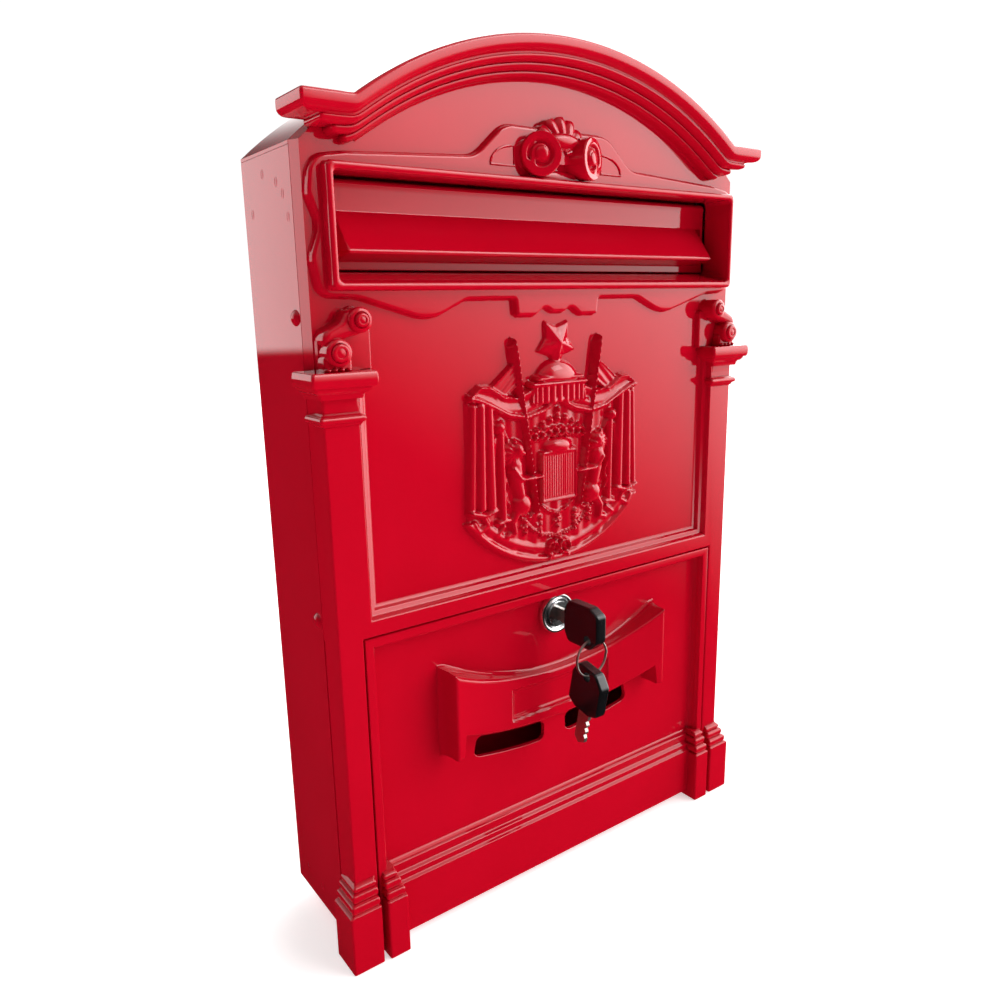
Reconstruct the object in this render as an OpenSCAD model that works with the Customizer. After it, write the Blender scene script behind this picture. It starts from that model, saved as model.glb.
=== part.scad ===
// Wall post box: a cast aluminium front with an arched cornice on a folded sheet-steel body.
// Letters go in under a hinged flap at the top and come out through a fold-down door below.
// +X is to the right, -Y faces the street, +Z is up. The shapes are drawn with Z = 0 at the
// feet and Y = 0 at the face plate, and at_wall() then moves the origin to the middle of the
// four wall screws, on the back face.

/* [Overall] */
// Height from the feet to the crown of the arch
height = 410; // [370:5:450]
// Width over the two pilasters
front_w = 247.8; // [230:0.2:270]
// Depth of the sheet-steel body behind the casting
body_depth = 52.3; // [45:0.1:110]

/* [Cornice] */
// Radius of the arch, outside
arch_r = 185.2; // [175:0.2:230]
// Drop from the crown to the top of the level arms
arm_drop = 34.8; // [20:0.2:45]
// Height of the whole stack of mouldings
cornice_h = 15.6; // [12:0.2:20]
// Reach of the top moulding in front of the face plate
cornice_out = 16.2; // [12:0.2:20]
// Reach of the cornice past each pilaster
cornice_side = 5.1; // [3:0.1:7]

/* [Casting] */
// Thickness of the face plate
plate_t = 2.5; // [2:0.1:3.5]
// Reach of pilasters and rails in front of the face plate
pilaster_out = 5.5; // [4:0.1:8]
// Width of a pilaster beside the middle panel
pilaster_w = 16.4; // [14:0.2:20]
// Depth of the rim behind the face plate
rim_depth = 7.2; // [6:0.1:10]
// Reach of the capitals in front of the face plate
cap_out = 12.5; // [10:0.1:15]
// Reach of the feet in front of the face plate
foot_out = 11.6; // [9:0.1:14]
// Height of the plain block of a foot
foot_h = 29.9; // [24:0.1:34]

/* [Letter slot] */
// Distance from the crown down to the top of the slot
slot_drop = 59.8; // [56:0.2:70]
// Height of the slot
slot_h = 41.8; // [34:0.2:46]
// Width of the slot
slot_w = 228.8; // [200:0.2:232]
// Reach of the slot rim in front of the face plate
rim_out = 9; // [7:0.1:12]
// Thickness of the letter flap
flap_t = 1.7; // [1.4:0.1:2.5]
// Reach of the finger ridge in front of the flap
ridge_out = 12.2; // [8:0.1:14]
// Radius of the flap's hinge rod
rod_r = 1.6; // [1.4:0.1:1.8]

/* [Door] */
// Height of the top of the door opening
door_top = 158.7; // [140:0.1:170]
// Width of the door opening
door_w = 224.2; // [200:0.2:228]
// Gap between the door and its opening
door_gap = 0.6; // [0.5:0.05:1]
// Radius of the door's hinge pins
hinge_r = 2; // [1.6:0.1:2.2]
// Half length of the ribbon in relief on the door
ribbon_half = 69.5; // [55:0.5:78]

/* [Lock] */
// Height of the lock's centre
lock_z = 143; // [125:0.5:144]
// Radius of the lock's bezel
bezel_r = 10.8; // [10:0.1:12]
// Radius of the threaded lock barrel
barrel_r = 9; // [8.5:0.1:9.5]
// Radius of the turning plug
plug_r = 6.5; // [6.2:0.1:7]
// Length of the cam from the lock's centre to its tip
cam_l = 27; // [24:0.5:30]

/* [Keys] */
// Length of a key's plastic bow
bow_l = 25; // [22:0.5:28]
// Height of a key's plastic bow
bow_h = 22; // [18:0.5:24]
// Thickness of a key's plastic bow
bow_t = 6.4; // [5:0.2:7]
// Mean radius of the key ring
ring_r = 9.2; // [9:0.1:11]
// Lean of the spare key towards the door
spare_lean = 12; // [0:1:15]

/* [Sheet steel] */
// Thickness of the steel sheet
sheet_t = 1; // [0.8:0.1:1.2]
// Height of the underside of the body
body_z = 9.7; // [8:0.1:14]
// Distance between the wall screws across
screw_dx = 180; // [120:5:190]
// Distance between the wall screws up and down
screw_dz = 250; // [200:5:260]
// Height of the middle of the wall screws
mount_z = 200; // [185:5:210]
// Radius of the wall screw holes
screw_r = 3; // [2:0.1:4]

/* [Hidden] */
$fn = 48;

coat_red = [0.72, 0.01, 0.05];
chrome = [0.85, 0.86, 0.88];
zinc = [0.66, 0.67, 0.7];
black = [0.03, 0.03, 0.03];

run_fit = 0.06;      // radial play of a pin or shaft in its hole
seat = 0.1;          // gap between two pieces that are seated on each other
wall_t = 2.4;        // wall of the hollow pilasters and of the door's rim
front_half = front_w / 2;
arch_cz = height - arch_r;
arm_top = height - arm_drop;
cornice_half = front_half + cornice_side;
body_half = front_half + 1.2;
body_front = rim_depth + seat;
back_y = body_front + body_depth - 0.1;
side_top = arch_cz + sqrt(pow(arch_r - sheet_t, 2) - pow(body_half, 2)) - seat;

slot_top = height - slot_drop;
slot_z = slot_top - slot_h;
slot_half = slot_w / 2;
slot_wall = 2.2;     // wall of the slot's reveal
slot_back = 8.4;     // back edge of the reveal
sill_rise = 4.8;     // the sill climbs this much from the rim to the flap
frame_out = 3.4;     // reach of the shaped frame round the slot

flap_face = 9.2;     // front face of the closed flap
flap_half = slot_half - 0.8;
rod_y = flap_face + 2.4;
rod_z = slot_top - 3.4;
barrel_out = 2.8;    // radius of the flap's rolled edge round the rod
flap_low = slot_z + sill_rise + 0.5;
ridge_z = slot_z + 12.2;
bend_z = slot_z + 28.2;
ridge_half = slot_half - 7.4;
bracket_t = 1.5;
bracket_x = slot_half + 0.3;
boss_x = slot_half - 5.4;
boss_z = slot_top + 6.8;

cap_top = height - 136.1;
cap_h = 5;
cap_in = front_half - 22.1;
shaft_in = front_half - pilaster_w;
rail_h = 7.8;
panel_low = door_top + rail_h;

door_half = door_w / 2 - door_gap;
door_low = 3.6;
door_high = door_top - door_gap;
door_face = 1;       // front of the door's sunk field
door_strip = 4;      // width of the raised border round the field
door_back = 5.2;     // back edge of the door's rim
plinth_top = 30.6;
foot_in = door_w / 2 + 1.6;
door_foot_in = door_w / 2 - 12;
hinge_y = 3;
hinge_z = 9.3;
hinge_lug = 4.2;     // half size of a hinge lug
lug_w = 7;           // length of the door's lug along its pin
pin_head = 0.7;      // how far the head of a hinge pin stands out round it
door_swing = sqrt(pow(door_back - hinge_y, 2) + pow(hinge_z - door_low, 2));
floor_front = max(body_front + sheet_t + seat, hinge_y + door_swing + 0.5);
ribbon_end = 12;     // reach of the ribbon's ends in front of the face plate
ribbon_mid = 3.6;    // reach of the ribbon's middle
ribbon_dip_r = (pow(ribbon_half, 2) + pow(ribbon_end - ribbon_mid, 2)) / 2 / (ribbon_end - ribbon_mid);
ribbon_low = 86.5;   // lower edge of the ribbon at its middle
ribbon_h = 27;       // height of the ribbon at its middle
label_half = 32.5;   // half length of the sunk label field
label_low = 92;
label_high = 109;
label_sunk = 0.6;
view_r = 250;        // radius that the two viewing slots curve on
view_z = 78;         // height of that curve at the middle of the door
view_half = 5.5;     // half height of a viewing slot
view_in = 7.2;       // nearest end of a viewing slot from the middle
view_out = 51.6;     // its far end

bezel_front = -2.4;
barrel_back = 12;
cam_y = barrel_back + 0.4;
cam_t = 2;
plug_back = cam_y + cam_t;
nut_t = 3.4;
keeper_back = cam_y - 0.3;

bow_near = -10;      // end of the bow that faces the lock
blade_t = 2;
blade_h = 7.4;
ring_wire = 0.9;
ring_y = bow_near - 17.8;
ring_top = lock_z - 6.5;
ring_cz = ring_top - ring_r;
eye_r = 2.5;
eye_lift = 0.6;
eye_in = 4.1;        // the eye of the spare key lies this far in from the end of its bow
spare_z = ring_cz - ring_r - eye_lift;

rivet_z = [panel_low - 0.9, cap_top + 21.2];
rivet_y = body_front + 4.6;
rivet_r = 1.6;

// ---- helpers -------------------------------------------------------------------

// Moves the drawing frame to the middle of the wall screws on the back face
module at_wall() {
    translate([0, -back_y, -mount_z]) children();
}

// A flat shape drawn in X and Z, given thickness from y0 to y1
module slab(y0, y1) {
    translate([0, y1, 0]) rotate([90, 0, 0]) linear_extrude(y1 - y0) children();
}

// A box between two corners
module block(x0, x1, y0, y1, z0, z1) {
    translate([x0, y0, z0]) cube([x1 - x0, y1 - y0, z1 - z0]);
}

// A rectangle between two corners
module rect(x0, x1, z0, z1) {
    translate([x0, z0]) square([x1 - x0, z1 - z0]);
}

module rod_along_x(r, x0, x1, y, z) {
    translate([x0, y, z]) rotate([0, 90, 0]) cylinder(r = r, h = x1 - x0);
}

module rod_along_y(r, y0, y1, x, z) {
    translate([x, y1, z]) rotate([90, 0, 0]) cylinder(r = r, h = y1 - y0);
}

module both_sides() {
    children();
    mirror([1, 0, 0]) children();
}

// ---- cast front ----------------------------------------------------------------

module face_outline() {
    rect(-front_half, front_half, 0, arch_cz + 60);
    intersection() {
        rect(-front_half, front_half, arch_cz, height);
        translate([0, arch_cz]) circle(r = arch_r - 1.2, $fn = 180);
    }
}

// One moulding of the cornice: an arch with level arms, out_by deep and cut off at half_x
module moulding(depth, half_x, y0, y1) {
    low = arm_top - depth;
    slab(y0, y1) difference() {
        union() {
            intersection() {
                rect(-half_x, half_x, low, height);
                translate([0, arch_cz]) circle(r = arch_r, $fn = 180);
            }
            both_sides() rect(shaft_in - 12, half_x, low, arm_top);
        }
        translate([0, arch_cz]) circle(r = arch_r - depth, $fn = 180);
    }
}

module cornice() {
    steps = 4;
    for (i = [0:steps - 1]) {
        depth = cornice_h * (i + 1) / steps;
        out_by = cornice_out - i * (cornice_out - pilaster_out) / (steps - 1);
        moulding(depth, cornice_half - 6.8 * i, -out_by, i == 0 ? rim_depth : plate_t);
    }
}

// The shaped frame round the slot: a wavy plate with a swag below and a pediment above
module frame_outline() {
    crest_w = 27;
    rect(-slot_half - 6, slot_half + 6, slot_z - 5, slot_top + 6);
    both_sides() {
        translate([slot_half - 1, slot_top - 4]) circle(r = 10.5);
        translate([slot_half - 1, slot_z + 7]) circle(r = 10.5);
        translate([62, slot_z - 4]) scale([3.4, 1]) circle(r = 10);
        translate([16, slot_top + 15]) circle(r = 9);
    }
    rect(-24, 24, slot_z - 14, slot_z);
    rect(-crest_w, crest_w, slot_top, slot_top + 22);
    both_sides() translate([crest_w, slot_top + 5]) scale([1.4, 1]) circle(r = 16);
}

module slot_frame() {
    slab(-frame_out, plate_t) frame_outline();
    block(-slot_half - 3, slot_half + 3, -rim_out, 0, slot_z - 3, slot_top + 3);
    block(-slot_half - slot_wall, slot_half + slot_wall, 0, slot_back, slot_z - slot_wall,
        slot_top + slot_wall);
    both_sides() rod_along_y(8.8, -rim_out, 0, 13.5, slot_top + 13);
    stop_rail();
}

// Rail behind the flap's lower edge: the flap rests against it
module stop_rail() {
    block(-slot_half, slot_half, slot_back - 1, flap_face + flap_t + 2.4, slot_z - slot_wall, slot_z);
    block(-slot_half, slot_half, flap_face + flap_t + 0.3, flap_face + flap_t + 2.4, slot_z - slot_wall,
        flap_low + 3);
}

// The wedge that is left as a sloping sill when the slot is cut
module slot_cut() {
    difference() {
        block(-slot_half, slot_half, -rim_out - 1, slot_back + 1, slot_z, slot_top);
        translate([-slot_half, 0, 0]) rotate([90, 0, 90]) linear_extrude(slot_w) polygon([
            [-rim_out, slot_z - 1], [slot_back + 2, slot_z - 1], [slot_back + 2, slot_z + sill_rise],
            [-rim_out, slot_z]]);
    }
}

module capital() {
    outer = front_half;
    block(cap_in, outer + 6.7, -cap_out, rim_depth, cap_top - cap_h, cap_top);
    block(cap_in + 2, outer + 4.8, -cap_out + 2, rim_depth, cap_top - cap_h - 3, cap_top - cap_h);
    block(cap_in + 4, outer + 2.6, -cap_out + 4.3, rim_depth, cap_top - cap_h - 5.7, cap_top - cap_h - 3);
    block(shaft_in - 2, outer + 2.4, -cap_out + 4.3, rim_depth, cap_top - 20.4, cap_top - 17.6);
}

// S-shaped scroll over a capital: two rolled ends on a pad, joined by a slanting web
module scroll_bracket() {
    low_x = front_half - 6.5;
    high_x = front_half - 15.8;
    low_z = cap_top + 7.9;
    high_z = cap_top + 20.2;
    block(cap_in - 1.2, front_half, -3, 0, cap_top, cap_top + 15.6);
    block(low_x - 4, low_x + 4.7, -8.5, 0, cap_top, low_z);
    rod_along_y(4.7, -11, 0, low_x, low_z);
    rod_along_y(4.6, -11, 0, high_x, high_z);
    slab(-8.5, 0) polygon([[low_x - 2, low_z + 4], [low_x + 3, low_z + 3], [high_x + 3, high_z - 3],
        [high_x - 2, high_z - 4]]);
}

// A foot: a plain block with three stepped mouldings on top, from x0 out to x1
module foot(x0, x1, out_by, y1, side_step) {
    block(x0, x1, -out_by, y1, 0, foot_h);
    for (i = [1:3])
        block(x0, x1 - i * side_step, -out_by + i * (out_by - pilaster_out) / 4, y1, 0, foot_h + i * 3.8);
}

module pilaster() {
    block(shaft_in, front_half, -pilaster_out, plate_t, 0, cap_top - cap_h);
    block(front_half - wall_t, front_half, -pilaster_out, rim_depth, 0, side_top);
    foot(foot_in, front_half + 5.4, foot_out, rim_depth - 1.1, 1.3);
    block(door_w / 2, foot_in + 4, 0, rim_depth, 0, door_top);
}

// Hollow of a pilaster, open at the back
module pilaster_pocket() {
    block(door_w / 2 + wall_t, front_half - wall_t, -pilaster_out + wall_t, rim_depth + 1, 45, door_top);
    block(shaft_in + wall_t, front_half - wall_t, -pilaster_out + wall_t, rim_depth + 1, panel_low + 2,
        cap_top - 22);
}

// Lugs inside the body that the side rivets go through, and the hinge lug of the door
module side_lugs() {
    for (z = rivet_z)
        block(front_half - wall_t, front_half, 0, rivet_y + 4, z - 5, z + 5);
    block(door_w / 2, door_w / 2 + 6, hinge_y - hinge_lug, hinge_y + hinge_lug, hinge_z - hinge_lug,
        hinge_z + hinge_lug);
}

// Boss behind the plate that a flap bracket is screwed to
module bracket_boss(side) {
    rod_along_y(3.6, plate_t - 1, slot_back, side * boss_x, boss_z);
}

// Lug behind the rail that the cam of the lock turns behind
module keeper() {
    keeper_half = 14;
    block(-keeper_half, keeper_half, 0, keeper_back, door_top + 1, panel_low - 2.4);
    block(-front_half + wall_t, front_half - wall_t, -pilaster_out, plate_t, door_top, panel_low);
}

// A five-pointed star drawn flat, with one point down
module star(r) {
    polygon([for (i = [0:9]) let (a = 270 + i * 36, q = i % 2 == 0 ? r : r * 0.45) [q * cos(a), q * sin(a)]]);
}

// Half of a plain drape: a standing roll of cloth, its rolled end and a ball-topped pole
module drape_side() {
    translate([48, 0.5, 203]) cylinder(r = 4.4, h = 56);
    translate([37, 0.5, 203]) cylinder(r = 3.4, h = 40);
    translate([37, -0.5, 246]) sphere(r = 3.2);
    slab(-2.6, 0.5) polygon([[27, 284], [31, 283], [16, 200], [14, 200]]);
    slab(-2, 0.5) polygon([[29, 273], [43, 261], [38, 254], [26, 262]]);
    translate([25.5, -0.5, 231]) sphere(r = 4.6);
    slab(-2.6, 0.5) polygon([[21, 228], [29, 228], [31, 214], [27, 200], [21, 200], [22, 214]]);
}

// Plain crest of the middle panel: star, domed cap, drape, blank shield, two small supporters
module crest() {
    crest_low = 172;
    drawn_low = 166.5;   // the crest is drawn for a panel between these two heights
    drawn_high = 294.4;
    crest_scale = (slot_z - 14 - panel_low) / (drawn_high - drawn_low);
    lift = panel_low + (crest_low - drawn_low) * crest_scale;
    translate([0, 0, lift]) scale(crest_scale) translate([0, 0, -crest_low]) intersection() {
        union() {
            slab(-1.4, 0.5) intersection() {
                rect(-53, 53, crest_low, 261);
                translate([0, 234.5]) circle(r = 62.5, $fn = 96);
            }
            both_sides() drape_side();
            slab(-3.4, 0.5) rect(-11.5, 11.5, 203, 229);
            slab(-2.6, 0.5) rect(-17, 17, 252, 262);
            translate([0, 0.5, 262]) sphere(r = 6.5);
            slab(-3, 0.5) translate([0, 281]) star(11);
        }
        block(-60, 60, -8, 0.5, crest_low - 1, 300);
    }
}

module fascia() {
    color(coat_red) at_wall() difference() {
        union() {
            slab(0, plate_t) face_outline();
            both_sides() pilaster();
            cornice();
            slot_frame();
            both_sides() capital();
            both_sides() scroll_bracket();
            both_sides() side_lugs();
            bracket_boss(1);
            bracket_boss(-1);
            keeper();
            crest();
        }
        block(-door_w / 2, door_w / 2, -20, 20, -1, door_top);
        slot_cut();
        both_sides() pilaster_pocket();
        both_sides() rod_along_x(hinge_r + run_fit, door_w / 2 - 1, door_w / 2 + 7, hinge_y, hinge_z);
        both_sides() for (z = rivet_z)
            rod_along_x(rivet_r + run_fit, front_half - wall_t - 1, front_half + 1, rivet_y, z);
        for (side = [-1, 1]) rod_along_y(1.2 + run_fit, plate_t + 0.5, slot_back + 1, side * boss_x, boss_z);
    }
}

// ---- sheet-steel body ----------------------------------------------------------

module back_outline() {
    rect(-body_half, body_half, body_z, arch_cz + 60);
    intersection() {
        rect(-body_half, body_half, arch_cz, height);
        translate([0, arch_cz]) circle(r = arch_r - sheet_t - seat, $fn = 180);
    }
}

// Back and both sides, folded from one sheet, with narrow folds along the front edges
module body_shell() {
    fold = 7;
    color(coat_red) at_wall() difference() {
        union() {
            slab(back_y - sheet_t, back_y) back_outline();
            both_sides() {
                block(body_half - sheet_t, body_half, body_front, back_y, body_z, side_top);
                block(body_half - fold, body_half, body_front, body_front + sheet_t, body_z + 20,
                    side_top - 22);
            }
        }
        for (x = [-screw_dx / 2, screw_dx / 2], z = [mount_z - screw_dz / 2, mount_z + screw_dz / 2])
            rod_along_y(screw_r, back_y - sheet_t - 1, back_y + 1, x, z);
        both_sides() for (z = rivet_z) {
            rod_along_x(rivet_r + run_fit, body_half - sheet_t - 1, body_half + 1, rivet_y, z);
            block(body_half - fold - 1, body_half - sheet_t, body_front - 1, body_front + sheet_t + 1,
                z - 6, z + 6);
        }
    }
}

// Arched top sheet with a tab turned down inside each side
module roof_panel() {
    tab_x = body_half - sheet_t - seat;
    tab_top = arch_cz + sqrt(pow(arch_r - sheet_t / 2, 2) - pow(tab_x, 2));
    color(coat_red) at_wall() {
        slab(body_front, back_y) difference() {
            intersection() {
                rect(-body_half, body_half, arch_cz, height);
                translate([0, arch_cz]) circle(r = arch_r, $fn = 180);
            }
            translate([0, arch_cz]) circle(r = arch_r - sheet_t, $fn = 180);
        }
        both_sides() block(tab_x - sheet_t, tab_x, body_front + sheet_t + 2, back_y - sheet_t - 2,
            side_top - 16, tab_top);
    }
}

// Bottom tray with its edges turned up inside the body
module floor_panel() {
    inner = body_half - sheet_t - seat;
    deep = back_y - sheet_t - seat;
    color(coat_red) at_wall() difference() {
        block(-inner, inner, floor_front, deep, body_z, body_z + 12);
        block(-inner + sheet_t, inner - sheet_t, body_front, deep - sheet_t, body_z + sheet_t, body_z + 13);
    }
}

// Round-headed rivets that hold the body to the casting, two on each side
module side_rivets() {
    color(coat_red) at_wall() both_sides() for (z = rivet_z) {
        rod_along_x(rivet_r, front_half - wall_t - 1, body_half + 0.5, rivet_y, z);
        intersection() {
            translate([body_half - 2.2, rivet_y, z]) sphere(r = 4.1);
            block(body_half + 0.02, body_half + 4, rivet_y - 3.25, rivet_y + 3.25, z - 3.25, z + 3.25);
        }
        rod_along_x(2.4, front_half - wall_t - 1, front_half - wall_t - 0.02, rivet_y, z);
    }
}

// ---- letter flap ---------------------------------------------------------------

// Side view of the flap at full width: the plate and its rolled top edge
module letter_flap() {
    ridge_y = flap_face - ridge_out;
    color(coat_red) at_wall() difference() {
        union() {
            block(-flap_half, flap_half, flap_face, flap_face + flap_t, flap_low, rod_z);
            rod_along_x(barrel_out, -flap_half, flap_half, rod_y, rod_z);
            translate([-ridge_half, 0, 0]) rotate([90, 0, 90]) linear_extrude(ridge_half * 2) polygon([
                [flap_face + flap_t / 2, bend_z], [ridge_y, ridge_z], [ridge_y + 0.8, ridge_z - 1.4],
                [flap_face + flap_t / 2, ridge_z - 3.3]]);
        }
        rod_along_x(rod_r + run_fit, -flap_half - 1, flap_half + 1, rod_y, rod_z);
    }
}

module flap_rod() {
    color(zinc) at_wall()
        rod_along_x(rod_r, -bracket_x - bracket_t - 1.9, bracket_x + bracket_t + 1.9, rod_y, rod_z);
}

// Angle bracket: a foot screwed to the boss and an ear that carries the rod's end
module bracket_shape() {
    ear_low = rod_z - 4.5;
    y0 = slot_back + seat;
    difference() {
        union() {
            block(boss_x - 5.5, bracket_x + bracket_t, y0, y0 + bracket_t, slot_top + slot_wall + 0.6,
                boss_z + 5);
            block(bracket_x, bracket_x + bracket_t, y0, rod_y + 4.5, ear_low, boss_z + 5);
        }
        rod_along_y(1.6, y0 - 1, y0 + bracket_t + 1, boss_x, boss_z);
        rod_along_x(rod_r + run_fit, bracket_x - 1, bracket_x + bracket_t + 1, rod_y, rod_z);
    }
}

module flap_bracket_right() {
    color(zinc) at_wall() bracket_shape();
}

module flap_bracket_left() {
    color(zinc) at_wall() mirror([1, 0, 0]) bracket_shape();
}

module bracket_screws() {
    head_y = slot_back + seat + bracket_t + 0.02;
    color(zinc) at_wall() for (side = [-1, 1]) {
        rod_along_y(1.2, plate_t + 1, head_y + 1, side * boss_x, boss_z);
        rod_along_y(2.7, head_y, head_y + 1.8, side * boss_x, boss_z);
    }
}

// Spring clips on the rod's two ends, outside the brackets
module rod_clips() {
    x0 = bracket_x + bracket_t + seat;
    color(zinc) at_wall() both_sides() difference() {
        rod_along_x(2.9, x0, x0 + 0.8, rod_y, rod_z);
        rod_along_x(rod_r + 0.02, x0 - 1, x0 + 2, rod_y, rod_z);
    }
}

// ---- door ----------------------------------------------------------------------

// Curved ribbon in relief: two long arcs, square ends and a short leg at each end
module ribbon_outline() {
    top_r = 144;
    low_r = 180;
    leg = 4.5;
    top = ribbon_low + ribbon_h;
    difference() {
        rect(-ribbon_half, ribbon_half, ribbon_low, top + 16);
        translate([0, top + top_r]) circle(r = top_r, $fn = 180);
        difference() {
            rect(-ribbon_half + leg, ribbon_half - leg, ribbon_low - 20, ribbon_low + 30);
            translate([0, ribbon_low + low_r]) circle(r = low_r, $fn = 180);
        }
    }
}

module ribbon() {
    difference() {
        slab(-ribbon_end, door_face + 0.5) ribbon_outline();
        translate([0, -ribbon_mid - ribbon_dip_r, 80]) cylinder(r = ribbon_dip_r, h = 60, $fn = 180);
        block(-label_half, label_half, -ribbon_end, -ribbon_mid + label_sunk, label_low, label_high);
    }
}

// One curved viewing slot, right of the middle
module view_slot() {
    slab(-20, 20) intersection() {
        rect(view_in, view_out, view_z - 18, view_z + 17);
        translate([0, view_z + view_r]) difference() {
            circle(r = view_r + view_half, $fn = 180);
            circle(r = view_r - view_half, $fn = 180);
        }
    }
}

module door() {
    rim = 2.2;
    color(coat_red) at_wall() difference() {
        union() {
            difference() {
                block(-door_half, door_half, -pilaster_out, door_back, door_low, door_high);
                block(-door_half + door_strip, door_half - door_strip, -pilaster_out - 1, door_face,
                    plinth_top + 10.6, door_high - door_strip);
                block(-door_half + rim, door_half - rim, door_face + plate_t, door_back + 1, door_low + rim,
                    door_high - rim);
                block(-door_half + lug_w, door_half - lug_w, -pilaster_out + wall_t, door_back + 1,
                    door_low + rim, plinth_top - 1.6);
            }
            for (i = [0:2])
                block(-door_half + rim, door_half - rim, -pilaster_out + 1.6 * i, door_face + 1,
                    plinth_top - 1, plinth_top + 3.6 * (i + 1));
            both_sides() foot(door_foot_in, door_half - 0.3, foot_out + 0.6, 0, 0);
            both_sides() block(door_half - lug_w, door_half, hinge_y - hinge_lug, hinge_y + 2.2,
                hinge_z - hinge_lug, hinge_z + hinge_lug);
            ribbon();
        }
        both_sides() view_slot();
        rod_along_y(barrel_r + run_fit, -20, 20, 0, lock_z);
        both_sides() rod_along_x(hinge_r + run_fit, door_half - lug_w - 1, door_half + 1, hinge_y, hinge_z);
    }
}

// A headed pin, pushed through the door's lug into the foot from inside
module hinge_pin() {
    head_x = door_half - lug_w - seat;
    rod_along_x(hinge_r, head_x - 0.5, door_w / 2 + 6.5, hinge_y, hinge_z);
    rod_along_x(hinge_r + pin_head, head_x - 1.2, head_x, hinge_y, hinge_z);
}

module hinge_pin_right() {
    color(zinc) at_wall() hinge_pin();
}

module hinge_pin_left() {
    color(zinc) at_wall() mirror([1, 0, 0]) hinge_pin();
}

// ---- lock ----------------------------------------------------------------------

module lock_housing() {
    color(chrome) at_wall() difference() {
        union() {
            rod_along_y(bezel_r, bezel_front, door_face - 0.02, 0, lock_z);
            rod_along_y(barrel_r, bezel_front + 0.5, barrel_back, 0, lock_z);
        }
        rod_along_y(plug_r + run_fit, bezel_front - 1, barrel_back + 1, 0, lock_z);
    }
}

module lock_nut() {
    nut_y = door_face + plate_t + 0.02;
    color(zinc) at_wall() difference() {
        translate([0, nut_y + nut_t, lock_z]) rotate([90, 0, 0])
            cylinder(r = barrel_r + 4.2, h = nut_t, $fn = 6);
        rod_along_y(barrel_r + 0.03, nut_y - 1, nut_y + nut_t + 1, 0, lock_z);
    }
}

// Plug with its keyway and a square end that drives the cam
module lock_plug() {
    side = 6;
    color(chrome) at_wall() difference() {
        union() {
            rod_along_y(plug_r, bezel_front - 0.5, barrel_back + 0.1, 0, lock_z);
            block(-side / 2, side / 2, barrel_back, plug_back - 0.3, lock_z - side / 2, lock_z + side / 2);
        }
        block(-blade_t / 2 - 0.1, blade_t / 2 + 0.1, bezel_front - 2, 9, lock_z - blade_h / 2 - 0.1,
            lock_z + blade_h / 2 + 0.1);
        rod_along_y(1.25, barrel_back - 2, plug_back + 1, 0, lock_z);
    }
}

// Flat cam: level when the lock is open, behind the rail when it is turned a quarter
module lock_cam() {
    color(zinc) at_wall() difference() {
        slab(cam_y, cam_y + cam_t) union() {
            translate([0, lock_z]) circle(r = 7);
            rect(0, cam_l, lock_z - 5.5, lock_z + 5.5);
        }
        block(-3.05, 3.05, cam_y - 1, cam_y + cam_t + 1, lock_z - 3.05, lock_z + 3.05);
    }
}

module cam_washer() {
    color(zinc) at_wall() difference() {
        rod_along_y(5.5, plug_back + 0.02, plug_back + 0.9, 0, lock_z);
        rod_along_y(1.4, plug_back - 1, plug_back + 2, 0, lock_z);
    }
}

module cam_screw() {
    color(zinc) at_wall() {
        rod_along_y(1.2, barrel_back - 1, plug_back + 1.5, 0, lock_z);
        rod_along_y(3.4, plug_back + 0.92, plug_back + 2.8, 0, lock_z);
    }
}

// ---- keys ----------------------------------------------------------------------
// A key is drawn on its own: the blade runs along +Y from the bow, and the bow lies in Y and Z
// with its near end at Y = 0.

// Flat blade with a row of notches along its lower edge and a pointed tip
module blade_shape(length) {
    cut = 1.2;
    low = -blade_h / 2;
    notches = [for (y = [5.5:4:length - 5], p = [[y - 1.5, low], [y, low + cut], [y + 1.5, low]]) p];
    tip = [[length - 2.5, low], [length, 0.6], [length - 2.5, -low], [-6, -low]];
    rotate([90, 0, 90]) translate([0, 0, -blade_t / 2]) linear_extrude(blade_t)
        polygon(concat([[-6, low]], notches, tip));
}

// Six-sided bow with an eye; eye_y and eye_z give the eye's place
module bow_shape(eye_y, eye_z) {
    h = bow_h / 2;
    difference() {
        rotate([90, 0, 90]) translate([0, 0, -bow_t / 2]) linear_extrude(bow_t) polygon([
            [0, -h / 2], [-3, -h], [-bow_l + 6, -h], [-bow_l, -h + 5.5], [-bow_l, h - 3],
            [-bow_l + 6, h], [-3, h], [0, h / 2]]);
        rod_along_x(eye_r, -bow_t, bow_t, eye_y, eye_z);
        block(-blade_t / 2 - 0.02, blade_t / 2 + 0.02, -6.02, 1, -blade_h / 2 - 0.02, blade_h / 2 + 0.02);
    }
}

module in_lock() {
    at_wall() translate([0, bow_near, lock_z]) children();
}

module key_blade() {
    color(chrome) in_lock() blade_shape(17.5);
}

module key_bow() {
    color(black) in_lock() bow_shape(ring_y - bow_near, ring_top + eye_lift - lock_z);
}

module key_ring() {
    color(chrome) at_wall() translate([0, ring_y, ring_cz]) rotate([90, 0, 0])
        rotate_extrude($fn = 64) translate([ring_r, 0]) circle(r = ring_wire, $fn = 16);
}

// The spare key hangs from the ring by its eye, blade down
module hanging() {
    at_wall() translate([0, ring_y, spare_z]) rotate([spare_lean, 0, 0]) rotate([-90, 0, 0])
        translate([0, bow_l - eye_in, 0]) children();
}

module spare_key_blade() {
    color(chrome) hanging() blade_shape(20);
}

module spare_key_bow() {
    color(black) hanging() bow_shape(eye_in - bow_l, 0);
}

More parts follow.
